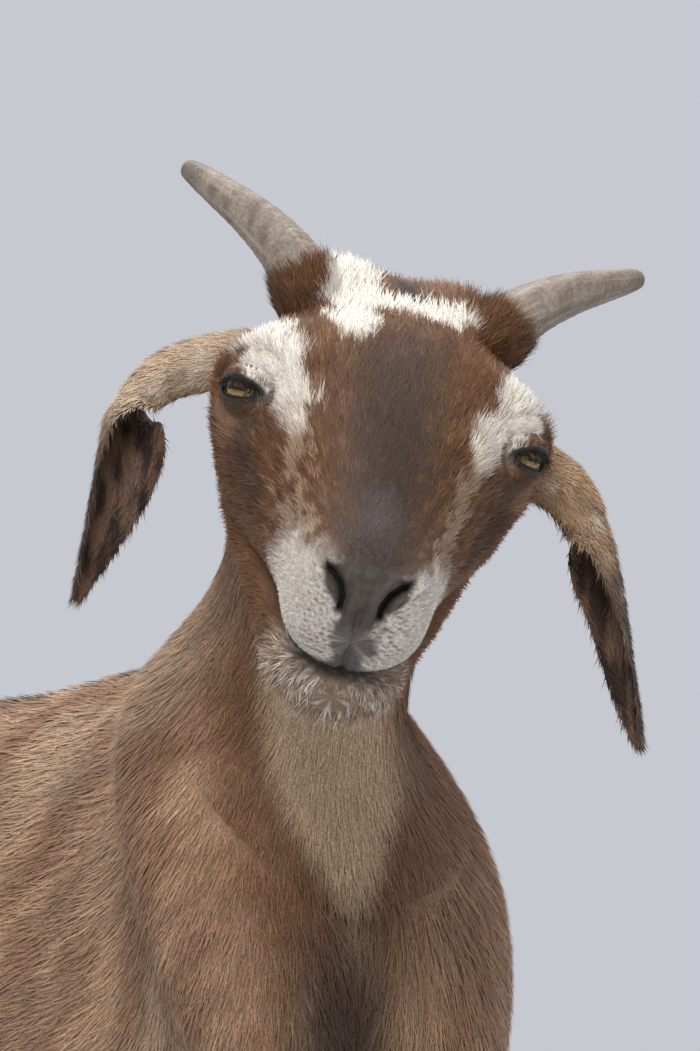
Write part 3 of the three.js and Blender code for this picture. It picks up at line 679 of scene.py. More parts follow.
# ---- head -------------------------------------------------------------------------------------------
HEAD_SPOTS = [
    (60, 74, 40, 18, 26, 13, 8), (48, 100, 40, 18, 24, 12, 3), (64, 72, -22, 20, 32, 24, 5),
    (62, 56, 16, 16, 18, 22, 5), (64, 92, 0, 14, 20, 11, 5), (0, -12, 37, 12, 16, 16, -8), (46, 24, 44, 17, 18, 16, 9),
    (19, 192, 12, 8, 12, 10, 2.0), (22, 186, -20, 14, 20, 12, 2.0), (30, 146, 6, 14, 30, 14, -2.0),
    (31, 12, 38, 16, 20, 16, 10), (0, 150, 34, 14, 34, 14, 1.6), (30, 60, 52, 20, 30, 12, 1.5),
    (46, 20, -10, 20, 26, 24, 2), (0, 118, 46, 22, 26, 20, -1.2)]
SURROUND_EDGE = 20.5
NOSTRIL = [(9.5, -1), (9.5, 5), (12, 10.5), (16.5, 14.5), (20, 15)]


def head_grid():
    """The head from the nape to the nose: rings closer together towards the nose, then the orbits, brows,
    cheeks and lips pushed out, and the nostrils, lip groove and eye sockets pushed in."""
    rows = np.array(HEAD_ROWS)
    middle = np.concatenate([(rows[:, :3] + rows[:, 3:6]) / 2, rows[:, 6:]], 1)
    back = even_steps(middle, slice(0, 3), 2.6, 1, 13)
    front = even_steps(rows, slice(0, 3), 0.85, 13, len(rows) - 1)[1:]
    at = np.concatenate([back, front])
    r = run(rows, at=at)
    r[:, 10:] = np.stack([np.interp(at, np.arange(len(rows)), rows[:, k]) for k in (10, 11)], 1)
    half = (r[:, :3] - r[:, 3:6]) / 2
    tall = np.linalg.norm(half, axis=1)
    grid, _, y = rings((r[:, :3] + r[:, 3:6]) / 2, unit(r[:, 6:9]), half / tall[:, None],
                       np.maximum(r[:, 9], 0.5), tall, r[:, 10], r[:, 11], 216)
    grid = raise_orbits(swell_head(grid, HEAD_SPOTS))
    n = normals_of(grid)
    h = to_head(grid)
    side = np.abs(h[..., 0])
    push = np.zeros(grid.shape[:2])
    a = np.array(NOSTRIL, float)
    away = np.full(side.shape, 99.0)
    for p, q in zip(a[:-1], a[1:]):
        d = q - p
        t = np.clip(((side - p[0]) * d[0] + (h[..., 2] - p[1]) * d[1]) / (d @ d), 0, 1)
        away = np.minimum(away, np.hypot(side - p[0] - t * d[0], h[..., 2] - p[1] - t * d[1]))
    inner = step(h[..., 1], 180, 188)
    push -= 6.5 * (1 - step(away, 0.6, 3.0)) * inner
    push += 0.9 * np.exp(-((away - 4.4) / 1.6) ** 2) * inner
    groove = (1 - step(side, 0.3, 2.6)) * step(h[..., 1], 196, 203) * (1 - step(h[..., 2], -1, 5))
    push -= 2.0 * groove
    skin = grid + n * push[..., None]
    socket = eye_cover(grid, 14, SURROUND_EDGE)
    return skin - n * (9.0 * socket)[..., None], skin, away


def raise_orbits(grid):
    """Lifts the skin round each eye towards a shallow dome, 11 mm over the eye's middle and falling with the
    square of the distance; the lift fades out between 12 and 44 mm from the eye."""
    for side in (1, -1):
        middle, out, along, up = eye_frame(side)
        d = grid - middle
        a, b, o = d @ along, d @ up, d @ out
        goal = 11.5 - 0.010 * a ** 2 - 0.006 * b ** 2
        fade = (1 - step(np.hypot(a / 1.25, b), 12, 44)) * step(o, -34, -22)
        grid = grid + (fade * np.clip(goal - o, 0, None))[..., None] * out
    return grid


def eye_cover(p, inner, outer):
    """1 over an eye and 0 away from it: the smooth step of the distance from the eye's outward line, with the
    length along the opening shortened."""
    cover = np.zeros(p.shape[:-1])
    for side in (1, -1):
        middle, out, along, up = eye_frame(side)
        d = p - middle
        away = np.hypot(d @ along / 1.25, d @ up)
        cover = np.maximum(cover, (1 - step(away, inner, outer)) * (1 - step(np.linalg.norm(d, axis=-1), 34, 42)))
    return cover


def head_pieces():
    grid, face, away = head_grid()
    h = to_head(grid)
    flow = head_flow(grid)
    colours = head_coat(grid)
    bare = nose_bare(h)
    # the nostril slits are painted near black: painted shade inside the openings
    nostril_shade = 1 - step(away, 1.0, 2.3)
    front = step(h[..., 1], 180, 188)
    colours = mix(colours, nose_tint(grid), bare * front)
    colours = mix(colours, paint(14, 11, 10), nostril_shade * front)
    skin = coated("head_hide", grid, colours, [], HEAD_SKIN)
    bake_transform(skin)
    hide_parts("head", "nose_pad")
    hairless = np.maximum(bare, 1 - step(away, 2.5, 4.5)) * front
    open_ = (1 - hairless) * (1 - eye_cover(grid, 17, 19.5))
    length = 4.0 + 4.5 * (1 - step(h[..., 1], 120, 185)) + 6.5 * (1 - step(h[..., 1], 10, 45))
    length = length - 1.6 * step(h[..., 1], 170, 190) - 1.1 * step(h[..., 1], 194, 205)
    width = 0.76 + 0.16 * (1 - step(h[..., 1], 20, 80))
    cuts = [(-999, 62), (62, 128), (128, 999)]
    for n, ((low, high), count) in enumerate(zip(cuts, (22000, 23000, 26000))):
        where = open_ * (h[..., 1] >= low) * (h[..., 1] < high)
        tufts = hair(grid, flow, length, width, head_coat, count, 90 + n, 0.2, where, 0.2)
        fur = put(("poll_hair", "brow_hair", "muzzle_hair")[n], metres(tufts[0]), triangles=tufts[1],
                  colours=tufts[2], smooth=False)
        fur.data.materials.append(FACE_COAT)
        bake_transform(fur)
    return face


def head_flow(grid):
    """Hair lies back from the nose, down over the cheeks, and down the neck behind the poll."""
    h = to_head(grid)
    cheek = step(20 - h[..., 2], 0, 50)[..., None]
    back = flow_on(grid, -FORWARD) * (1 - 0.3 * cheek) + flow_on(grid, -UP) * 0.5 * cheek
    lip = (step(h[..., 1], 176, 200) * (1 - step(h[..., 2], -16, 4)))[..., None]
    outward = LEFT * np.sign(h[..., :1])
    back = back * (1 - lip) + flow_on(grid, -UP * 0.8 - FORWARD * 0.3 + outward * 0.5) * lip
    nape = (1 - step(h[..., 1], -24, 8))[..., None]
    return back * (1 - nape) + flow_on(grid, (0, 0.35, -1)) * nape


def nose_bare(h):
    """1 on the hairless leather between and round the nostrils."""
    side, u = np.abs(h[..., 0]), h[..., 2]
    wide = 7.5 + 12.5 * step(u, -4, 12) - 10 * step(u, 15, 21)
    return (1 - step(side, wide - 1.5, wide + 1.5)) * step(u, -9, -5) * (1 - step(u, 18, 21)) * step(h[..., 1], 186, 191)


def nose_tint(p):
    spots = ripple(p, 5.5, 61)
    return mix(np.broadcast_to(paint(88, 77, 70), p.shape), paint(70, 60, 55), step(spots, -0.9, 1.2))


def jaw_pieces():
    """The lower jaw's hide from the cheek to the chin."""
    rows = []
    for f, top, bottom, wide in [(36, -12, -46, 34), (50, -8, -58, 52), (75, -10, -63, 61), (100, -16, -62, 57),
                                 (125, -22, -61, 50), (146, -29, -62, 43), (160, -34, -64, 37), (172, -36.5, -66, 33),
                                 (184, -37.5, -67, 30), (193, -38, -66, 25), (199, -39, -63, 19),
                                 (203, -42, -58, 9)]:
        rows.append([*from_head([0, f + 1.5, top]), *from_head([0, f - 1.5, bottom]), *LEFT, wide, 2.3, 0.0])
    grid, y = body_rings(rows, 0, len(rows) - 1, 1.7, 132)
    grid = swell_head(grid, [(0, 192, -64, 16, 10, 8, 2.0), (36, 60, -52, 16, 24, 14, 2)])
    h = to_head(grid)
    colours = jaw_coat(grid)
    chin = step(h[..., 1:2], 178, 197)
    flow = flow_on(grid, -FORWARD * (0.8 - 0.6 * chin) - UP * (0.55 + 0.6 * chin))
    skin = coated("jaw_hide", grid, colours, [], HEAD_SKIN)
    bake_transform(skin)
    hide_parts("lower_jaw")
    length = 6.0 + 7 * step(h[..., 1], 150, 178) * step(-h[..., 2], 50, 57) + 3 * (1 - step(h[..., 1], 80, 140))
    where = step(-h[..., 2] + 16 * (1 - step(h[..., 1], 120, 160)), 38, 42)
    tufts = hair(grid, flow, length, 0.82, jaw_coat, 18000, 77, 0.24, where, 0.24)
    fur = put("chin_hair", metres(tufts[0]), triangles=tufts[1], colours=tufts[2], smooth=False)
    fur.data.materials.append(FACE_COAT)
    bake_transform(fur)


# ---- eyes -------------------------------------------------------------------------------------------
def eye_frame(side):
    """Centre (mm) and the outward, along and upward directions of one eye's opening; side is 1 or -1. Along
    is the line the lid turns about, from the outer corner to the front one."""
    middle = from_head([EYE_OUT * side, EYE_FORWARD, EYE_UP])
    along = -np.array(JOINT["left_blink" if side > 0 else "right_blink"]["axis"], float)
    out = side * 0.7 * LEFT + 0.6 * FORWARD + 0.38 * UP
    out = unit(out - along * (out @ along))
    up = np.cross(out, along)
    return middle, out, along, up * np.sign(up @ UP)


def face_height(side, across, rise, face):
    """How far the face stands out over the middle of the eye at places along and above it: the mean of the
    skin's own points, weighted by one over their squared distance squared."""
    middle, out, along, up = eye_frame(side)
    d = face.reshape(-1, 3) - middle
    near = d[(np.linalg.norm(d, axis=1) < 46) & (d @ out > -16)]
    gap = (across.ravel()[:, None] - near @ along) ** 2 + (rise.ravel()[:, None] - near @ up) ** 2
    weight = 1 / (gap + 1.0) ** 2
    return (weight @ (near @ out) / weight.sum(1)).reshape(across.shape)


def dome(side, turn, rise, radius):
    """Points on a sphere round the eye: turn along the opening and rise above it, in radians."""
    middle, out, along, up = eye_frame(side)
    return middle + radius[..., None] * (
        (np.cos(rise) * np.sin(turn))[..., None] * along + np.sin(rise)[..., None] * up
        + (np.cos(rise) * np.cos(turn))[..., None] * out)


def shell(name, outer, inner, colours, material_):
    """A closed sheet: an outer and an inner grid of the same shape, joined round the four edges."""
    rows, cols = outer.shape[:2]
    points = np.concatenate([outer.reshape(-1, 3), inner.reshape(-1, 3)])
    i, j = np.meshgrid(np.arange(rows - 1), np.arange(cols - 1), indexing="ij")
    a = (i * cols + j).ravel()
    top = np.stack([a, a + 1, a + cols + 1, a + cols], 1)
    n = rows * cols
    rim = np.concatenate([np.arange(cols), np.arange(1, rows) * cols + cols - 1,
                          (rows - 1) * cols + np.arange(cols - 2, -1, -1), np.arange(rows - 2, 0, -1) * cols])
    after = np.roll(rim, -1)
    quads = np.concatenate([top, top[:, ::-1] + n, np.stack([after, rim, rim + n, after + n], 1)])
    p = points[quads]
    volume = (np.einsum("ij,ij->i", p[:, 0], np.cross(p[:, 1], p[:, 2])).sum()
              + np.einsum("ij,ij->i", p[:, 0], np.cross(p[:, 2], p[:, 3])).sum())
    if volume < 0:
        quads = quads[:, ::-1]
    tint = np.concatenate([colours.reshape(-1, 3)] * 2)
    made = put(name, metres(points), quads, colours=tint)
    made.data.materials.append(material_)
    return made


def eye_pieces(side, word, face):
    middle, out, along, up = eye_frame(side)
    # eyeball: rings round the outward axis, with the iris, the slit and the dark rim painted on
    tilt, turn = np.meshgrid(np.linspace(0.02, np.pi - 0.02, 90), np.linspace(0, 2 * np.pi, 120, endpoint=False),
                             indexing="ij")
    a, b = np.sin(tilt) * np.cos(turn), np.sin(tilt) * np.sin(turn)
    radius = 13.9 + 0.9 * np.exp(-(tilt / 0.62) ** 4)
    ball = middle + radius[..., None] * (np.cos(tilt)[..., None] * out + a[..., None] * along + b[..., None] * up)
    iris = 1 - step(tilt, 0.66, 0.74)
    streak = ripple(np.stack([np.cos(turn * 1.0) * 9, np.sin(turn) * 9, tilt * 2.4], -1), 2.2, 5)
    amber = mix(np.broadcast_to(paint(204, 160, 80), ball.shape), paint(146, 98, 40), step(streak, -0.6, 0.9))
    amber = mix(amber, paint(70, 44, 22), step(tilt, 0.50, 0.70))
    colour = mix(np.broadcast_to(paint(74, 54, 44), ball.shape), amber, iris)
    slit = (1 - step(np.abs(b), 0.045, 0.075)) * (1 - step(np.abs(a), 0.34, 0.40))
    colour = mix(colour, paint(8, 7, 7), slit)
    points, quads, triangles = closed_tube(ball)
    tints = np.concatenate([colour.reshape(-1, 3), colour[0, :1], colour[-1, :1]])
    eye = put(f"{word}_eye", metres(points), quads, triangles, tints)
    eye.data.materials.append(WET_EYE)
    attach(eye, f"{word}_eye")
    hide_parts(f"{word}_eyeball")
    # lids: two curved sheets whose free edges make the almond
    for lid, sign, lift, reach in (("upper", 1, 11, 66), ("lower", -1, 13, 66)):
        t, v = np.meshgrid(np.linspace(-1.25, 1.25, 70), np.linspace(0, 1, 22), indexing="ij")
        low = math.radians(lift) * (1 - (t / 1.12) ** 2)
        rise = sign * (low * (1 - v) + math.radians(reach) * v)
        fat = 15.0 + 0.7 * np.sqrt(np.clip(1 - ((v - 0.5) / 0.5) ** 2, 0, 1))
        outer, inner = dome(side, t, rise, fat), dome(side, t, rise, np.full_like(fat, 14.75))
        tint = mix(np.broadcast_to(paint(38, 29, 24), outer.shape), DEEP_BROWN * 0.8, step(v, 0.15, 0.6))
        made = shell(f"{word}_{lid}_lid", outer, inner, tint, LID_SKIN)
        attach(made, f"{word}_upper_lid" if sign > 0 else "head")
        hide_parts(f"{word}_{lid}_eyelid")
    # the skin round the eye: rings from the opening outwards, from over the lids down into the face
    w, q = np.meshgrid(np.linspace(0, 1, 36), np.linspace(0, 2 * np.pi, 108, endpoint=False), indexing="ij")
    upper = np.sin(q) > 0
    across = (12.2 + (1.25 * SURROUND_EDGE + 0.5 - 12.2) * w) * np.cos(q)
    tall = np.where(upper, 4.4, 4.8)
    above = (tall + (SURROUND_EDGE + 0.5 - tall) * w) * np.sin(q)
    ball_height = np.sqrt(np.clip(16.3 ** 2 - across ** 2 - above ** 2, 4.0, None))
    fold = np.where(upper, 1.3, 0.9) * np.exp(-((w - 0.16) / 0.12) ** 2) - 0.9 * np.exp(-((w - 0.40) / 0.09) ** 2) * upper
    height = face_height(side, across, above, face)
    over = ball_height + (height - ball_height) * step(w, 0.05, 0.72) + fold - 1.2 * step(w, 0.8, 1.0)
    patch = middle + across[..., None] * along + above[..., None] * up + over[..., None] * out
    under = patch - (0.8 + 2.2 * w)[..., None] * out
    colours = head_coat(patch)
    colours = mix(colours, LID, 1 - step(w, 0.10, 0.26))
    grid = np.concatenate([under[::-1], patch])
    tint = np.concatenate([colours[::-1], colours])
    rows, around = grid.shape[:2]
    k, m = np.meshgrid(np.arange(rows), np.arange(around), indexing="ij")
    a0, b0 = (k * around + m).ravel(), (k * around + (m + 1) % around).ravel()
    a1, b1 = (((k + 1) % rows) * around + m).ravel(), (((k + 1) % rows) * around + (m + 1) % around).ravel()
    faces = np.stack([a0, b0, b1, a1], 1)
    p = grid.reshape(-1, 3)[faces]
    volume = (np.einsum("ij,ij->i", p[:, 0], np.cross(p[:, 1], p[:, 2])).sum()
              + np.einsum("ij,ij->i", p[:, 0], np.cross(p[:, 2], p[:, 3])).sum())
    if volume < 0:
        faces = faces[:, ::-1]
    ring = put(f"{word}_eye_surround", metres(grid.reshape(-1, 3)), faces, colours=tint.reshape(-1, 3))
    ring.data.materials.append(HEAD_SKIN)
    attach(ring, "head")

    def tinted(root):
        d = root - middle
        edge = np.hypot(d @ up / 6.2, d @ along / 13.5)
        return mix(head_coat(root), LID, 1 - step(edge, 0.95, 1.3))
    flow = flow_on(patch, -FORWARD - 0.15 * UP)
    tufts = hair(patch, flow, 4.6, 0.58, tinted, 8000, 130 + side, 0.14, step(w, 0.08, 0.2), 0.2)
    lashes = hair(patch, unit(out - 0.55 * up + 0.2 * along) + 0 * patch, 9.0, 0.4,
                  lambda p_: np.broadcast_to(paint(30, 22, 18), p_.shape), 160, 150 + side, 0.5,
                  (1 - step(w, 0.02, 0.06)) * upper, 0.25)
    both = [np.concatenate([tufts[0], lashes[0]]), np.concatenate([tufts[1], lashes[1] + len(tufts[0])]),
            np.concatenate([tufts[2], lashes[2]])]
    fur = put(f"{word}_eye_hair", metres(both[0]), triangles=both[1], colours=both[2], smooth=False)
    fur.data.materials.append(FACE_COAT)
    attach(fur, "head")


# ---- horns and ears -----------------------------------------------------------------------------------
HORN_LINE = [(34, 34, 18, 15, 15), (38, 31, 28, 15, 15.5), (44, 26, 38, 14.5, 15), (51, 18.5, 46, 13.4, 14.2),
             (63, 7, 51, 11.4, 12.4), (78, -6, 53.5, 9.2, 10.2), (93, -18, 54, 7.2, 8.0), (103, -26, 54, 5.8, 6.2),
             (109, -30.5, 54, 4.2, 4.4), (111, -32, 54, 1.6, 1.6)]


def horn_piece(side, word):
    """A horn: rings along its curve, stepped by growth rings that fade towards the tip and lengthwise ribs."""
    rows = np.array(HORN_LINE, float)
    rows[:, 0] *= side
    at = even_steps(rows, slice(0, 3), 0.7, 0, len(rows) - 1)
    r = run(rows, at=at)
    line = from_head(r[:, :3])
    tangent = unit(np.gradient(line, axis=0))
    high = unit(UP - tangent * (tangent @ UP)[:, None])
    across = np.cross(tangent, high)
    around = 108
    turn = np.linspace(0, 2 * np.pi, around, endpoint=False)[None]
    s = np.linspace(0, 1, len(at))[:, None]
    length = np.linalg.norm(np.diff(line, axis=0), axis=1).sum()
    wave = s * length / 7.5 + 0.9 * np.sin(s * 9.0) + 0.16 * np.sin(turn * 2 + 1) + 0.08 * np.sin(turn * 5 + s * 20)
    saw = (wave % 1.0)
    ridge = (saw ** 2 * (1 - step(saw, 0.86, 1.0))) * (1 - 0.75 * s)
    fine = 0.10 * np.sin(wave * 2 * np.pi * 4.3) + 0.10 * np.sin(turn * 23 + 3 * np.sin(s * 30)) * (1 - s)
    keel = 0.8 * np.exp(-((turn - 1.2 - 0.6 * s) / 0.5) ** 2) * (1 - s)
    swellings = 0.5 * ridge + fine + keel
    grid = (line[:, None] + (np.cos(turn) * (r[:, 3:4] + swellings))[..., None] * across[:, None]
            + (np.sin(turn) * (r[:, 4:5] + swellings))[..., None] * high[:, None])
    shade = ripple(grid, 13, 71) + 0.6 * ripple(grid, 4, 72)
    colour = mix(np.broadcast_to(paint(150, 137, 123), grid.shape), paint(120, 105, 91), step(shade, -1.4, 1.9))
    streak = ripple(np.stack(np.broadcast_arrays(np.cos(turn) * 9, np.sin(turn) * 9, s * 7), -1), 3.2, 73)
    colour = mix(colour, paint(172, 158, 142), 0.6 * step(streak, 0.0, 1.2))
    colour = mix(colour, paint(100, 84, 70), 0.4 * (1 - step(saw, 0.02, 0.2)) * (1 - 0.7 * s))
    colour = mix(colour, paint(96, 78, 64), 0.5 * (1 - step(s + 0 * turn, 0.02, 0.14)))
    colour = mix(colour, paint(90, 80, 72), 0.6 * step(s + 0 * turn, 0.80, 1.0))
    points, quads, triangles = closed_tube(grid)
    tints = np.concatenate([colour.reshape(-1, 3), colour[0, :1], colour[-1, :1]])
    horn = put(f"{word}_horn_sheath", metres(points), quads, triangles, tints)
    horn.data.materials.append(HORN_SKIN)
    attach(horn, "head")
    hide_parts(f"{word}_horn")
    # the coat's fringe lies along the root of the horn
    depth = np.broadcast_to(s * length, grid.shape[:2])
    bare = step(depth, 14, 18) * (1 - step(depth, 27, 36))
    tufts = hair(grid, np.broadcast_to(tangent[:, None], grid.shape), 10.0, 0.7, head_coat, 4000, 160 + side, 0.2,
                 bare, 0.24)
    fringe = put(f"{word}_horn_fringe", metres(tufts[0]), triangles=tufts[1], colours=tufts[2], smooth=False)
    fringe.data.materials.append(FACE_COAT)
    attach(fringe, "head")


EARS = {"right": ([(-56, 32, 34, 14, (0.0, -0.4, 0.9)), (-66, 33, 38, 19, (0.0, -0.4, 0.9)),
                   (-84, 31, 42, 19, (0.05, -0.5, 0.85)), (-102, 27, 44, 17.5, (0.2, -0.65, 0.65)),
                   (-117, 17, 44, 17.5, (0.6, -0.7, 0.25)), (-124, 3, 42, 20, (0.75, -0.35, -0.4)),
                   (-123, -13, 40, 21, (0.6, -0.05, -0.75)), (-125, -30, 38, 18, (0.5, 0, -0.85)),
                   (-131, -50, 37, 12.5, (0.45, 0, -0.88)), (-137, -67, 37, 7, (0.4, 0, -0.9)),
                   (-142, -81, 37, 2.5, (0.4, 0, -0.9))], 0.62),
        "left": ([(64, -12, 34, 14, (0.1, -0.4, 0.9)), (73, -18, 38, 19, (0.1, -0.4, 0.9)),
                  (86, -26, 42, 18.5, (-0.1, -0.5, 0.85)), (97, -38, 44, 17, (-0.5, -0.45, 0.6)),
                  (104, -54, 44, 17, (-0.85, -0.2, -0.1)), (106, -72, 43, 16.5, (-0.8, 0, -0.6)),
                  (109, -90, 42, 13.5, (-0.72, 0, -0.7)), (113, -117, 41, 8.5, (-0.68, 0, -0.73)),
                  (117, -138, 40, 4.5, (-0.68, 0, -0.73)), (119, -149, 40, 1.8, (-0.68, 0, -0.73))], 0.85)}


def ear_point(p):
    """From across, up and back of the middle of the eyes, in the frame turned with the head's heading."""
    p = np.asarray(p, float)
    return EYES_MIDDLE + p[..., 0:1] * ACROSS_VIEW + p[..., 2:3] * AWAY + p[..., 1:2] * np.array([0, 0, 1.0])


def ear_piece(word):
    """A thin two-sided leaf: a line of middles, half widths and the way the inside faces; both margins roll
    towards the inside."""
    listed, roll = EARS[word]
    rows = np.array([[*row[:4], *row[4]] for row in listed], float)
    at = even_steps(rows, slice(0, 3), 1.3, 0, len(rows) - 1)
    r = run(rows, at=at)
    line = ear_point(r[:, :3])
    tangent = unit(np.gradient(line, axis=0))
    face = r[:, 4:5] * ACROSS_VIEW + r[:, 6:7] * AWAY + r[:, 5:6] * np.array([0, 0, 1.0])
    face = unit(face - tangent * (tangent * face).sum(-1, keepdims=True))
    wide = np.cross(face, tangent)
    v = np.linspace(-1, 1, 76)[None]
    s = np.linspace(0, 1, len(at))[:, None]
    half = np.maximum(r[:, 3:4], 0.6)
    bend = v * (1.25 + 0.5 * (1 - s))
    flat = np.sin(bend) / (1.25 + 0.5 * (1 - s)) * half * 1.15
    cup = (1 - np.cos(bend)) / (1.25 + 0.5 * (1 - s)) * half * roll * 1.6
    wavy = 1.6 * np.sin(s * 11 + v * 2.2) * np.abs(v) ** 2
    sheet = line[:, None] + flat[..., None] * wide[:, None] + (cup + wavy)[..., None] * face[:, None]
    thick = (2.6 - 1.5 * np.abs(v) ** 2) * (1 - 0.5 * s) + 0 * half
    inner = sheet + face[:, None] * thick[..., None] / 2
    outer = sheet - face[:, None] * thick[..., None] / 2
    top, grey = (paint(208, 182, 154), paint(112, 94, 82)) if word == "right" else (paint(190, 156, 122), paint(116, 98, 84))

    def tinted(p):
        z = (p[..., 2] - line[-1, 2]) / (line[:, 2].max() - line[-1, 2])
        c = mix(np.broadcast_to(grey, p.shape), top, step(z + 0.08 * ripple(p, 20, 81), 0.52, 0.86))
        c = mix(c, UMBER, 0.5 * step(ripple(p * np.array([1, 1, 0.35]), 9, 82), 0.3, 1.2))
        return mix(c, WHITE, 0.35 * step(ripple(p, 12, 83), 0.5, 1.3))

    def inside(p):
        stripes = ripple(p * np.array([1, 1, 0.3]), 8, 84)
        return mix(np.broadcast_to(paint(120, 92, 74), p.shape), paint(52, 38, 32), step(stripes, -0.5, 0.7))
    shade = np.concatenate([tinted(outer).reshape(-1, 3) * 0.8, inside(inner).reshape(-1, 3) * 0.8])
    made = shell(f"{word}_ear_leaf", outer, inner, tinted(outer), EAR_COAT)
    layer = made.data.color_attributes["coat"]
    rgba = np.concatenate([shade, np.ones((len(shade), 1))], 1).astype(np.float32)
    layer.data.foreach_set("color", rgba.ravel())
    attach(made, f"{word}_ear")
    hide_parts(f"{word}_ear")
    furs = []
    for skin, painter, facing, count, seed in ((outer, tinted, -1, 9000, 160), (inner, inside, 1, 5000, 170)):
        furs.append(leaf_hair(skin, face * facing, tangent, painter, count, seed + (word == "left")))
    both = [np.concatenate([furs[0][0], furs[1][0]]),
            np.concatenate([furs[0][1], furs[1][1] + len(furs[0][0])]), np.concatenate([furs[0][2], furs[1][2]])]
    fur = put(f"{word}_ear_hair", metres(both[0]), triangles=both[1], colours=both[2], smooth=False)
    fur.data.materials.append(EAR_COAT)
    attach(fur, f"{word}_ear")


def leaf_hair(sheet, face, tangent, painter, count, seed):
    """Short hair on one side of a leaf, lying along it towards the tip; the same spikes as hair()."""
    r = np.random.default_rng(seed)
    rows, cols = sheet.shape[:2]
    area = np.linalg.norm(np.cross(sheet[1:, :-1] - sheet[:-1, :-1], sheet[:-1, 1:] - sheet[:-1, :-1]), axis=-1)
    chance = np.cumsum(area.ravel())
    cell = np.searchsorted(chance, r.uniform(0, chance[-1], count))
    i, j = cell // (cols - 1), cell % (cols - 1)
    a, b = r.uniform(size=(2, count, 1))
    root = ((sheet[i, j] * (1 - a) + sheet[i + 1, j] * a) * (1 - b)
            + (sheet[i, j + 1] * (1 - a) + sheet[i + 1, j + 1] * a) * b)
    side = unit(sheet[i, j + 1] - sheet[i, j])
    up = unit(np.cross(sheet[i + 1, j] - sheet[i, j], side))
    up = up * np.sign((up * face[i]).sum(-1, keepdims=True))
    lay = unit(tangent[i] + 0.25 * r.normal(size=root.shape))
    lay = unit(lay - up * (lay * up).sum(-1, keepdims=True))
    size, wide = 6.5 * r.uniform(0.7, 1.3, (count, 1)), 0.76 * r.uniform(0.8, 1.25, (count, 1))
    rise = 0.2 * r.uniform(0.3, 1.6, (count, 1))
    over = np.cross(up, lay)
    tip = root + size * (lay * np.cos(rise) + up * np.sin(rise))
    base = root - 0.25 * up
    points = np.stack([base + over * wide / 2, base - over * wide / 2, base - up * wide * 0.35, tip], 1)
    n = np.arange(count)[:, None] * 4
    triangles = (n[:, None] + np.array([[0, 3, 1], [1, 3, 2], [2, 3, 0], [0, 1, 2]])[None]).reshape(-1, 3)
    tint = painter(root) * r.normal(1, 0.13, (count, 1)).clip(0.6, 1.5)
    # root corners darkened to 0.7, painted shade at the roots; tips lightened to 1.15 for the hair's own paler tips
    return points.reshape(-1, 3), triangles, np.stack([tint * 0.7] * 3 + [tint * 1.15], 1).reshape(-1, 3)


# ---- legs, hooves, tail ---------------------------------------------------------------------------------
FRONT_LEG = [(715, -240, -210, 42, 58), (690, -268, -190, 40, 78), (650, -290, -170, 40, 92),
             (600, -300, -165, 40, 99), (550, -308, -170, 45, 105), (505, -302, -176, 52, 110),
             (465, -280, -178, 58, 114), (430, -262, -182, 62, 117), (400, -255, -190, 65, 114),
             (360, -252, -200, 68, 109), (320, -252, -208, 70, 105), (285, -254, -214, 70.5, 103),
             (268, -257, -217, 69, 104), (250, -260, -217, 67, 105), (232, -257, -219, 69, 103),
             (210, -251, -219, 72, 100), (170, -248, -220, 73.5, 98.5), (130, -248, -219, 73.5, 98.5),
             (112, -252, -215, 70, 102), (98, -254, -213, 69, 103), (82, -258, -219, 70, 102),
             (66, -267, -228, 68, 104), (54, -277, -236, 63, 109), (46, -281, -239, 61, 111),
             (40, -281, -240, 62, 110)]
HIND_LEG = [(712, 255, 336, 42, 84), (690, 225, 372, 40, 110), (650, 205, 390, 40, 126), (600, 190, 396, 45, 135),
            (550, 180, 392, 50, 138), (505, 172, 372, 56, 138), (470, 170, 345, 62, 136), (435, 178, 322, 68, 133),
            (400, 203, 318, 73, 128), (365, 236, 330, 77, 121), (330, 272, 352, 80, 115), (305, 298, 384, 81, 111),
            (290, 316, 390, 80, 110), (275, 328, 387, 78, 110), (255, 332, 373, 78, 109), (235, 331, 361, 79.5, 106),
            (200, 326, 354, 80, 103.5), (160, 321, 350, 79.5, 102.5), (125, 318, 349, 78.5, 103),
            (110, 314, 352, 75, 105), (96, 311, 353, 73, 107), (82, 306, 346, 74, 106), (66, 298, 338, 72, 108),
            (54, 289, 331, 67, 113), (46, 285, 328, 65, 115), (40, 285, 327, 66, 114)]
LEG_PARTS = {"front": (FRONT_LEG, [("upper_arm", 715, 467, 600, 480, "trunk", "upper_arm"),
                                   ("forearm", 467, 330, 455, 405, "upper_arm", "forearm"),
                                   ("cannon", 330, 170, 268, 232, "forearm", "cannon"),
                                   ("pastern", 170, 40, 112, 90, "cannon", "foot")], 300),
             "hind": (HIND_LEG, [("thigh", 712, 505, 640, 520, "trunk", "thigh"),
                                 ("gaskin", 505, 365, 490, 420, "thigh", "gaskin"),
                                 ("cannon", 365, 190, 310, 262, "gaskin", "cannon"),
                                 ("pastern", 190, 40, 112, 90, "cannon", "foot")], 320)}


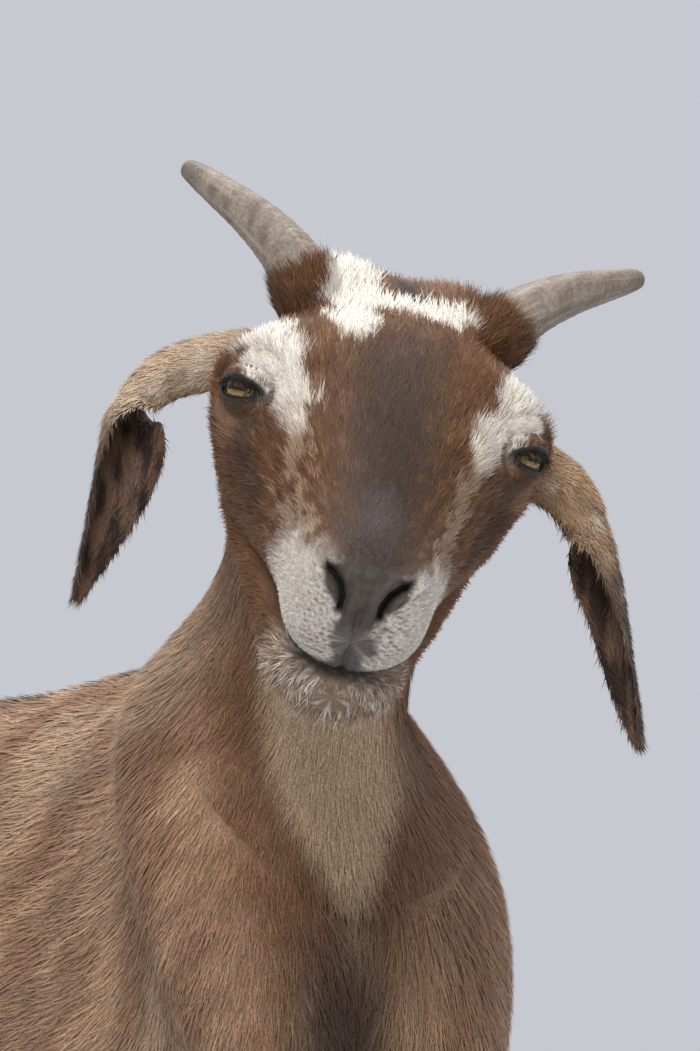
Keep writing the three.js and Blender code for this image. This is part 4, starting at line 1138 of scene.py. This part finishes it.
def leg_pieces(end, side, word):
    """One leg in four lengths, each a run of level rings."""
    table, parts, pale = LEG_PARTS[end]
    rows = np.array(table, float)
    for n, (part, top, bottom, start, stop, a, b) in enumerate(parts):
        first, last = (np.interp(-z, -rows[:, 0], np.arange(len(rows))) for z in (top, bottom))
        fine = 5.0 if n == 0 else 3.4 if n < 3 else 2.6
        at = even_steps(rows, slice(0, 3), fine, first, last)
        r = run(rows, at=at)
        r[0, 0], r[-1, 0] = top, bottom
        middle = np.stack([side * (r[:, 3] + r[:, 4]) / 2, (r[:, 1] + r[:, 2]) / 2, r[:, 0]], 1)
        across, high = np.tile([side, 0.0, 0], (len(r), 1)), np.tile([0.0, -1, 0], (len(r), 1))
        power = np.full(len(r), 2.2)
        grid, _, y = rings(middle, across, high, (r[:, 4] - r[:, 3]) / 2, (r[:, 2] - r[:, 1]) / 2, power,
                           np.zeros(len(r)), 84)
        flow = flow_on(grid, (0, 0.45 if n == 0 else 0.12, -1))
        painter = lambda p, pale_=pale: leg_coat(p, pale_)
        count, long_, wide = ((9000, 17, 2.1), (4500, 12, 1.6), (4000, 9, 1.3), (4000, 8, 1.15))[n]
        where = None if n else 0.25 + 0.75 * step(side * grid[..., 0], 50, 90)
        tufts = hair(grid, flow, long_, wide, painter, count, 200 + 10 * n + (end == "hind") + 2 * (side > 0),
                     0.13, where)
        hide = coated(f"{word}_{end}_{part}_hide", grid, leg_coat(grid, pale), [tufts], COAT)
        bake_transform(hide)
        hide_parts(f"{word}_{end}_{part}")


def claw_piece(node_name, side, front_y):
    """One claw: level D-shaped rings, flat below, the wall leaning forward to the toe, with growth lines."""
    low, high = (np.array(v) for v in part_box(node_name))
    low, high = millimetres(low), millimetres(high)
    tall = high[2] - low[2]
    s = np.linspace(0, 1, 40)[:, None]
    turn = np.linspace(0, 2 * np.pi, 72, endpoint=False)[None]
    long_ = (high[1] - low[1]) * (1 - 0.36 * s) / 2
    wide = (high[0] - low[0]) * (1 - 0.10 * s ** 2) / 2
    centre = high[1] - (high[1] - low[1]) / 2 * (1 - 0.36 * s) - 5.0 * s
    lines = 0.35 * np.sin(s * 40 + 0.4 * np.sin(turn * 3)) * (1 - s * 0.5)
    c, q = np.cos(turn), np.sin(turn)
    x = (low[0] + high[0]) / 2 + np.sign(c) * np.abs(c) ** 0.85 * (wide + lines - 0.35) * (1 + 0.16 * q)
    y = centre + np.sign(q) * np.abs(q) ** 0.9 * (long_ + lines - 0.35)
    z = low[2] + tall * s + 0 * turn
    grid = np.stack(np.broadcast_arrays(x, y, z), -1)
    tone = ripple(grid * np.array([1, 1, 0.3]), 10, 91)
    colour = mix(np.broadcast_to(paint(84, 72, 62), grid.shape), paint(48, 40, 35), step(tone, -0.6, 0.9))
    colour = mix(colour, paint(122, 108, 92), 0.4 * (1 - step(s + 0 * turn, 0.0, 0.25)))
    points, quads, triangles = closed_tube(grid)
    tints = np.concatenate([colour.reshape(-1, 3), colour[0, :1], colour[-1, :1]])
    return metres(points), quads, triangles, tints


def feet_pieces(end, side, word):
    for which in ("outer", "inner"):
        name = f"{word}_{end}_{which}_claw"
        points, quads, triangles, tints = claw_piece(name, side, 0)
        claw = put(f"{name}_wall", points, quads, triangles, tints)
        claw.data.materials.append(HOOF_SKIN)
        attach(claw, f"{word}_{end}_foot")
        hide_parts(name)
        name = f"{word}_{end}_{which}_dewclaw"
        low, high = (millimetres(np.array(v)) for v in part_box(name))
        middle, half = (low + high) / 2, (high - low) / 2
        t, q = np.meshgrid(np.linspace(-1.45, 1.5, 30), np.linspace(0, 2 * np.pi, 48, endpoint=False), indexing="ij")
        bump = 1 + 0.05 * np.sin(t * 16)
        reach = np.where(np.sin(q) < 0, 2.3, 1.0)
        grid = middle + np.stack([half[0] * np.cos(t) * np.cos(q) * bump,
                                  half[1] * np.cos(t) ** 0.8 * np.sin(q) * bump * reach + 3 * np.sin(-t),
                                  half[2] * np.sin(t)], -1)
        points, quads, triangles = closed_tube(grid)
        dark = np.broadcast_to(paint(62, 52, 45), points.shape) * (1 + 0.25 * ripple(points, 5, 93))[:, None]
        dew = put(f"{name}_tip", metres(points), quads, triangles, dark)
        dew.data.materials.append(HOOF_SKIN)
        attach(dew, f"{word}_{end}_foot")
        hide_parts(name)


def tail_piece():
    """A short tail held up and back, furred with long hair."""
    rows = [(370, 676, 20, 12), (385, 690, 21, 13), (402, 708, 20, 13), (420, 730, 17, 12), (434, 752, 13, 9),
            (442, 768, 8, 6), (445, 777, 3, 2.5)]
    r = run(np.array(rows, float), 44)
    line = np.stack([np.zeros(len(r)), r[:, 0], r[:, 1]], 1)
    tangent = unit(np.gradient(line, axis=0))
    across = np.tile([1.0, 0, 0], (len(r), 1))
    grid, _, y = rings(line, across, np.cross(across, tangent), r[:, 2], r[:, 3], np.full(len(r), 2.0),
                       np.zeros(len(r)), 72)
    flow = tangent[:, None] + 0 * grid

    def tinted(p):
        lower = step(p[..., 1] - 384 - 0.70 * (p[..., 2] - 690), -4, 8)
        return mix(mix(np.broadcast_to(FAWN, p.shape), UMBER, 0.6 * (1 - lower)), CREAM, 0.8 * lower)
    tufts = hair(grid, flow, 20, 1.8, tinted, 6000, 301, 0.2, None, 0.22)
    made = coated("tail_hide", grid, tinted(grid), [tufts], COAT)
    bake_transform(made)
    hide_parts("tail")


HEAD_SKIN = attribute_skin("face_skin", 0.55, 1300.0, 0.35, 0.35, 0.22)
ENAMEL = patterned("tooth_enamel", paint(214, 200, 172), paint(168, 146, 112), 260.0, (0.25, 0.4), 0.1, 0.5,
                   (1, 1, 0.35))
FLESH = patterned("mouth_flesh", paint(186, 116, 110), paint(140, 84, 82), 420.0, (0.3, 0.45), 0.3, 0.5)
BONE = patterned("horn_core_bone", paint(206, 190, 164), paint(172, 150, 120), 500.0, (0.6, 0.8), 0.4)


def keep_inner_nodes():
    """Teeth, tongue, gum pad and horn cores stay as modelled, with their own patterned finishes."""
    for name, obj in frame["nodes"].items():
        if obj.hide_render:
            continue
        finish = (ENAMEL if "teeth" in name or "incisors" in name else
                  BONE if "core" in name else FLESH)
        obj.data.materials.clear()
        obj.data.materials.append(finish)


body_pieces()
face = head_pieces()
jaw_pieces()
for side, word in ((1, "left"), (-1, "right")):
    eye_pieces(side, word, face)
    horn_piece(side, word)
    ear_piece(word)
    for end in ("front", "hind"):
        leg_pieces(end, side, word)
        feet_pieces(end, side, word)
tail_piece()
keep_inner_nodes()
set_stage()
set_camera()
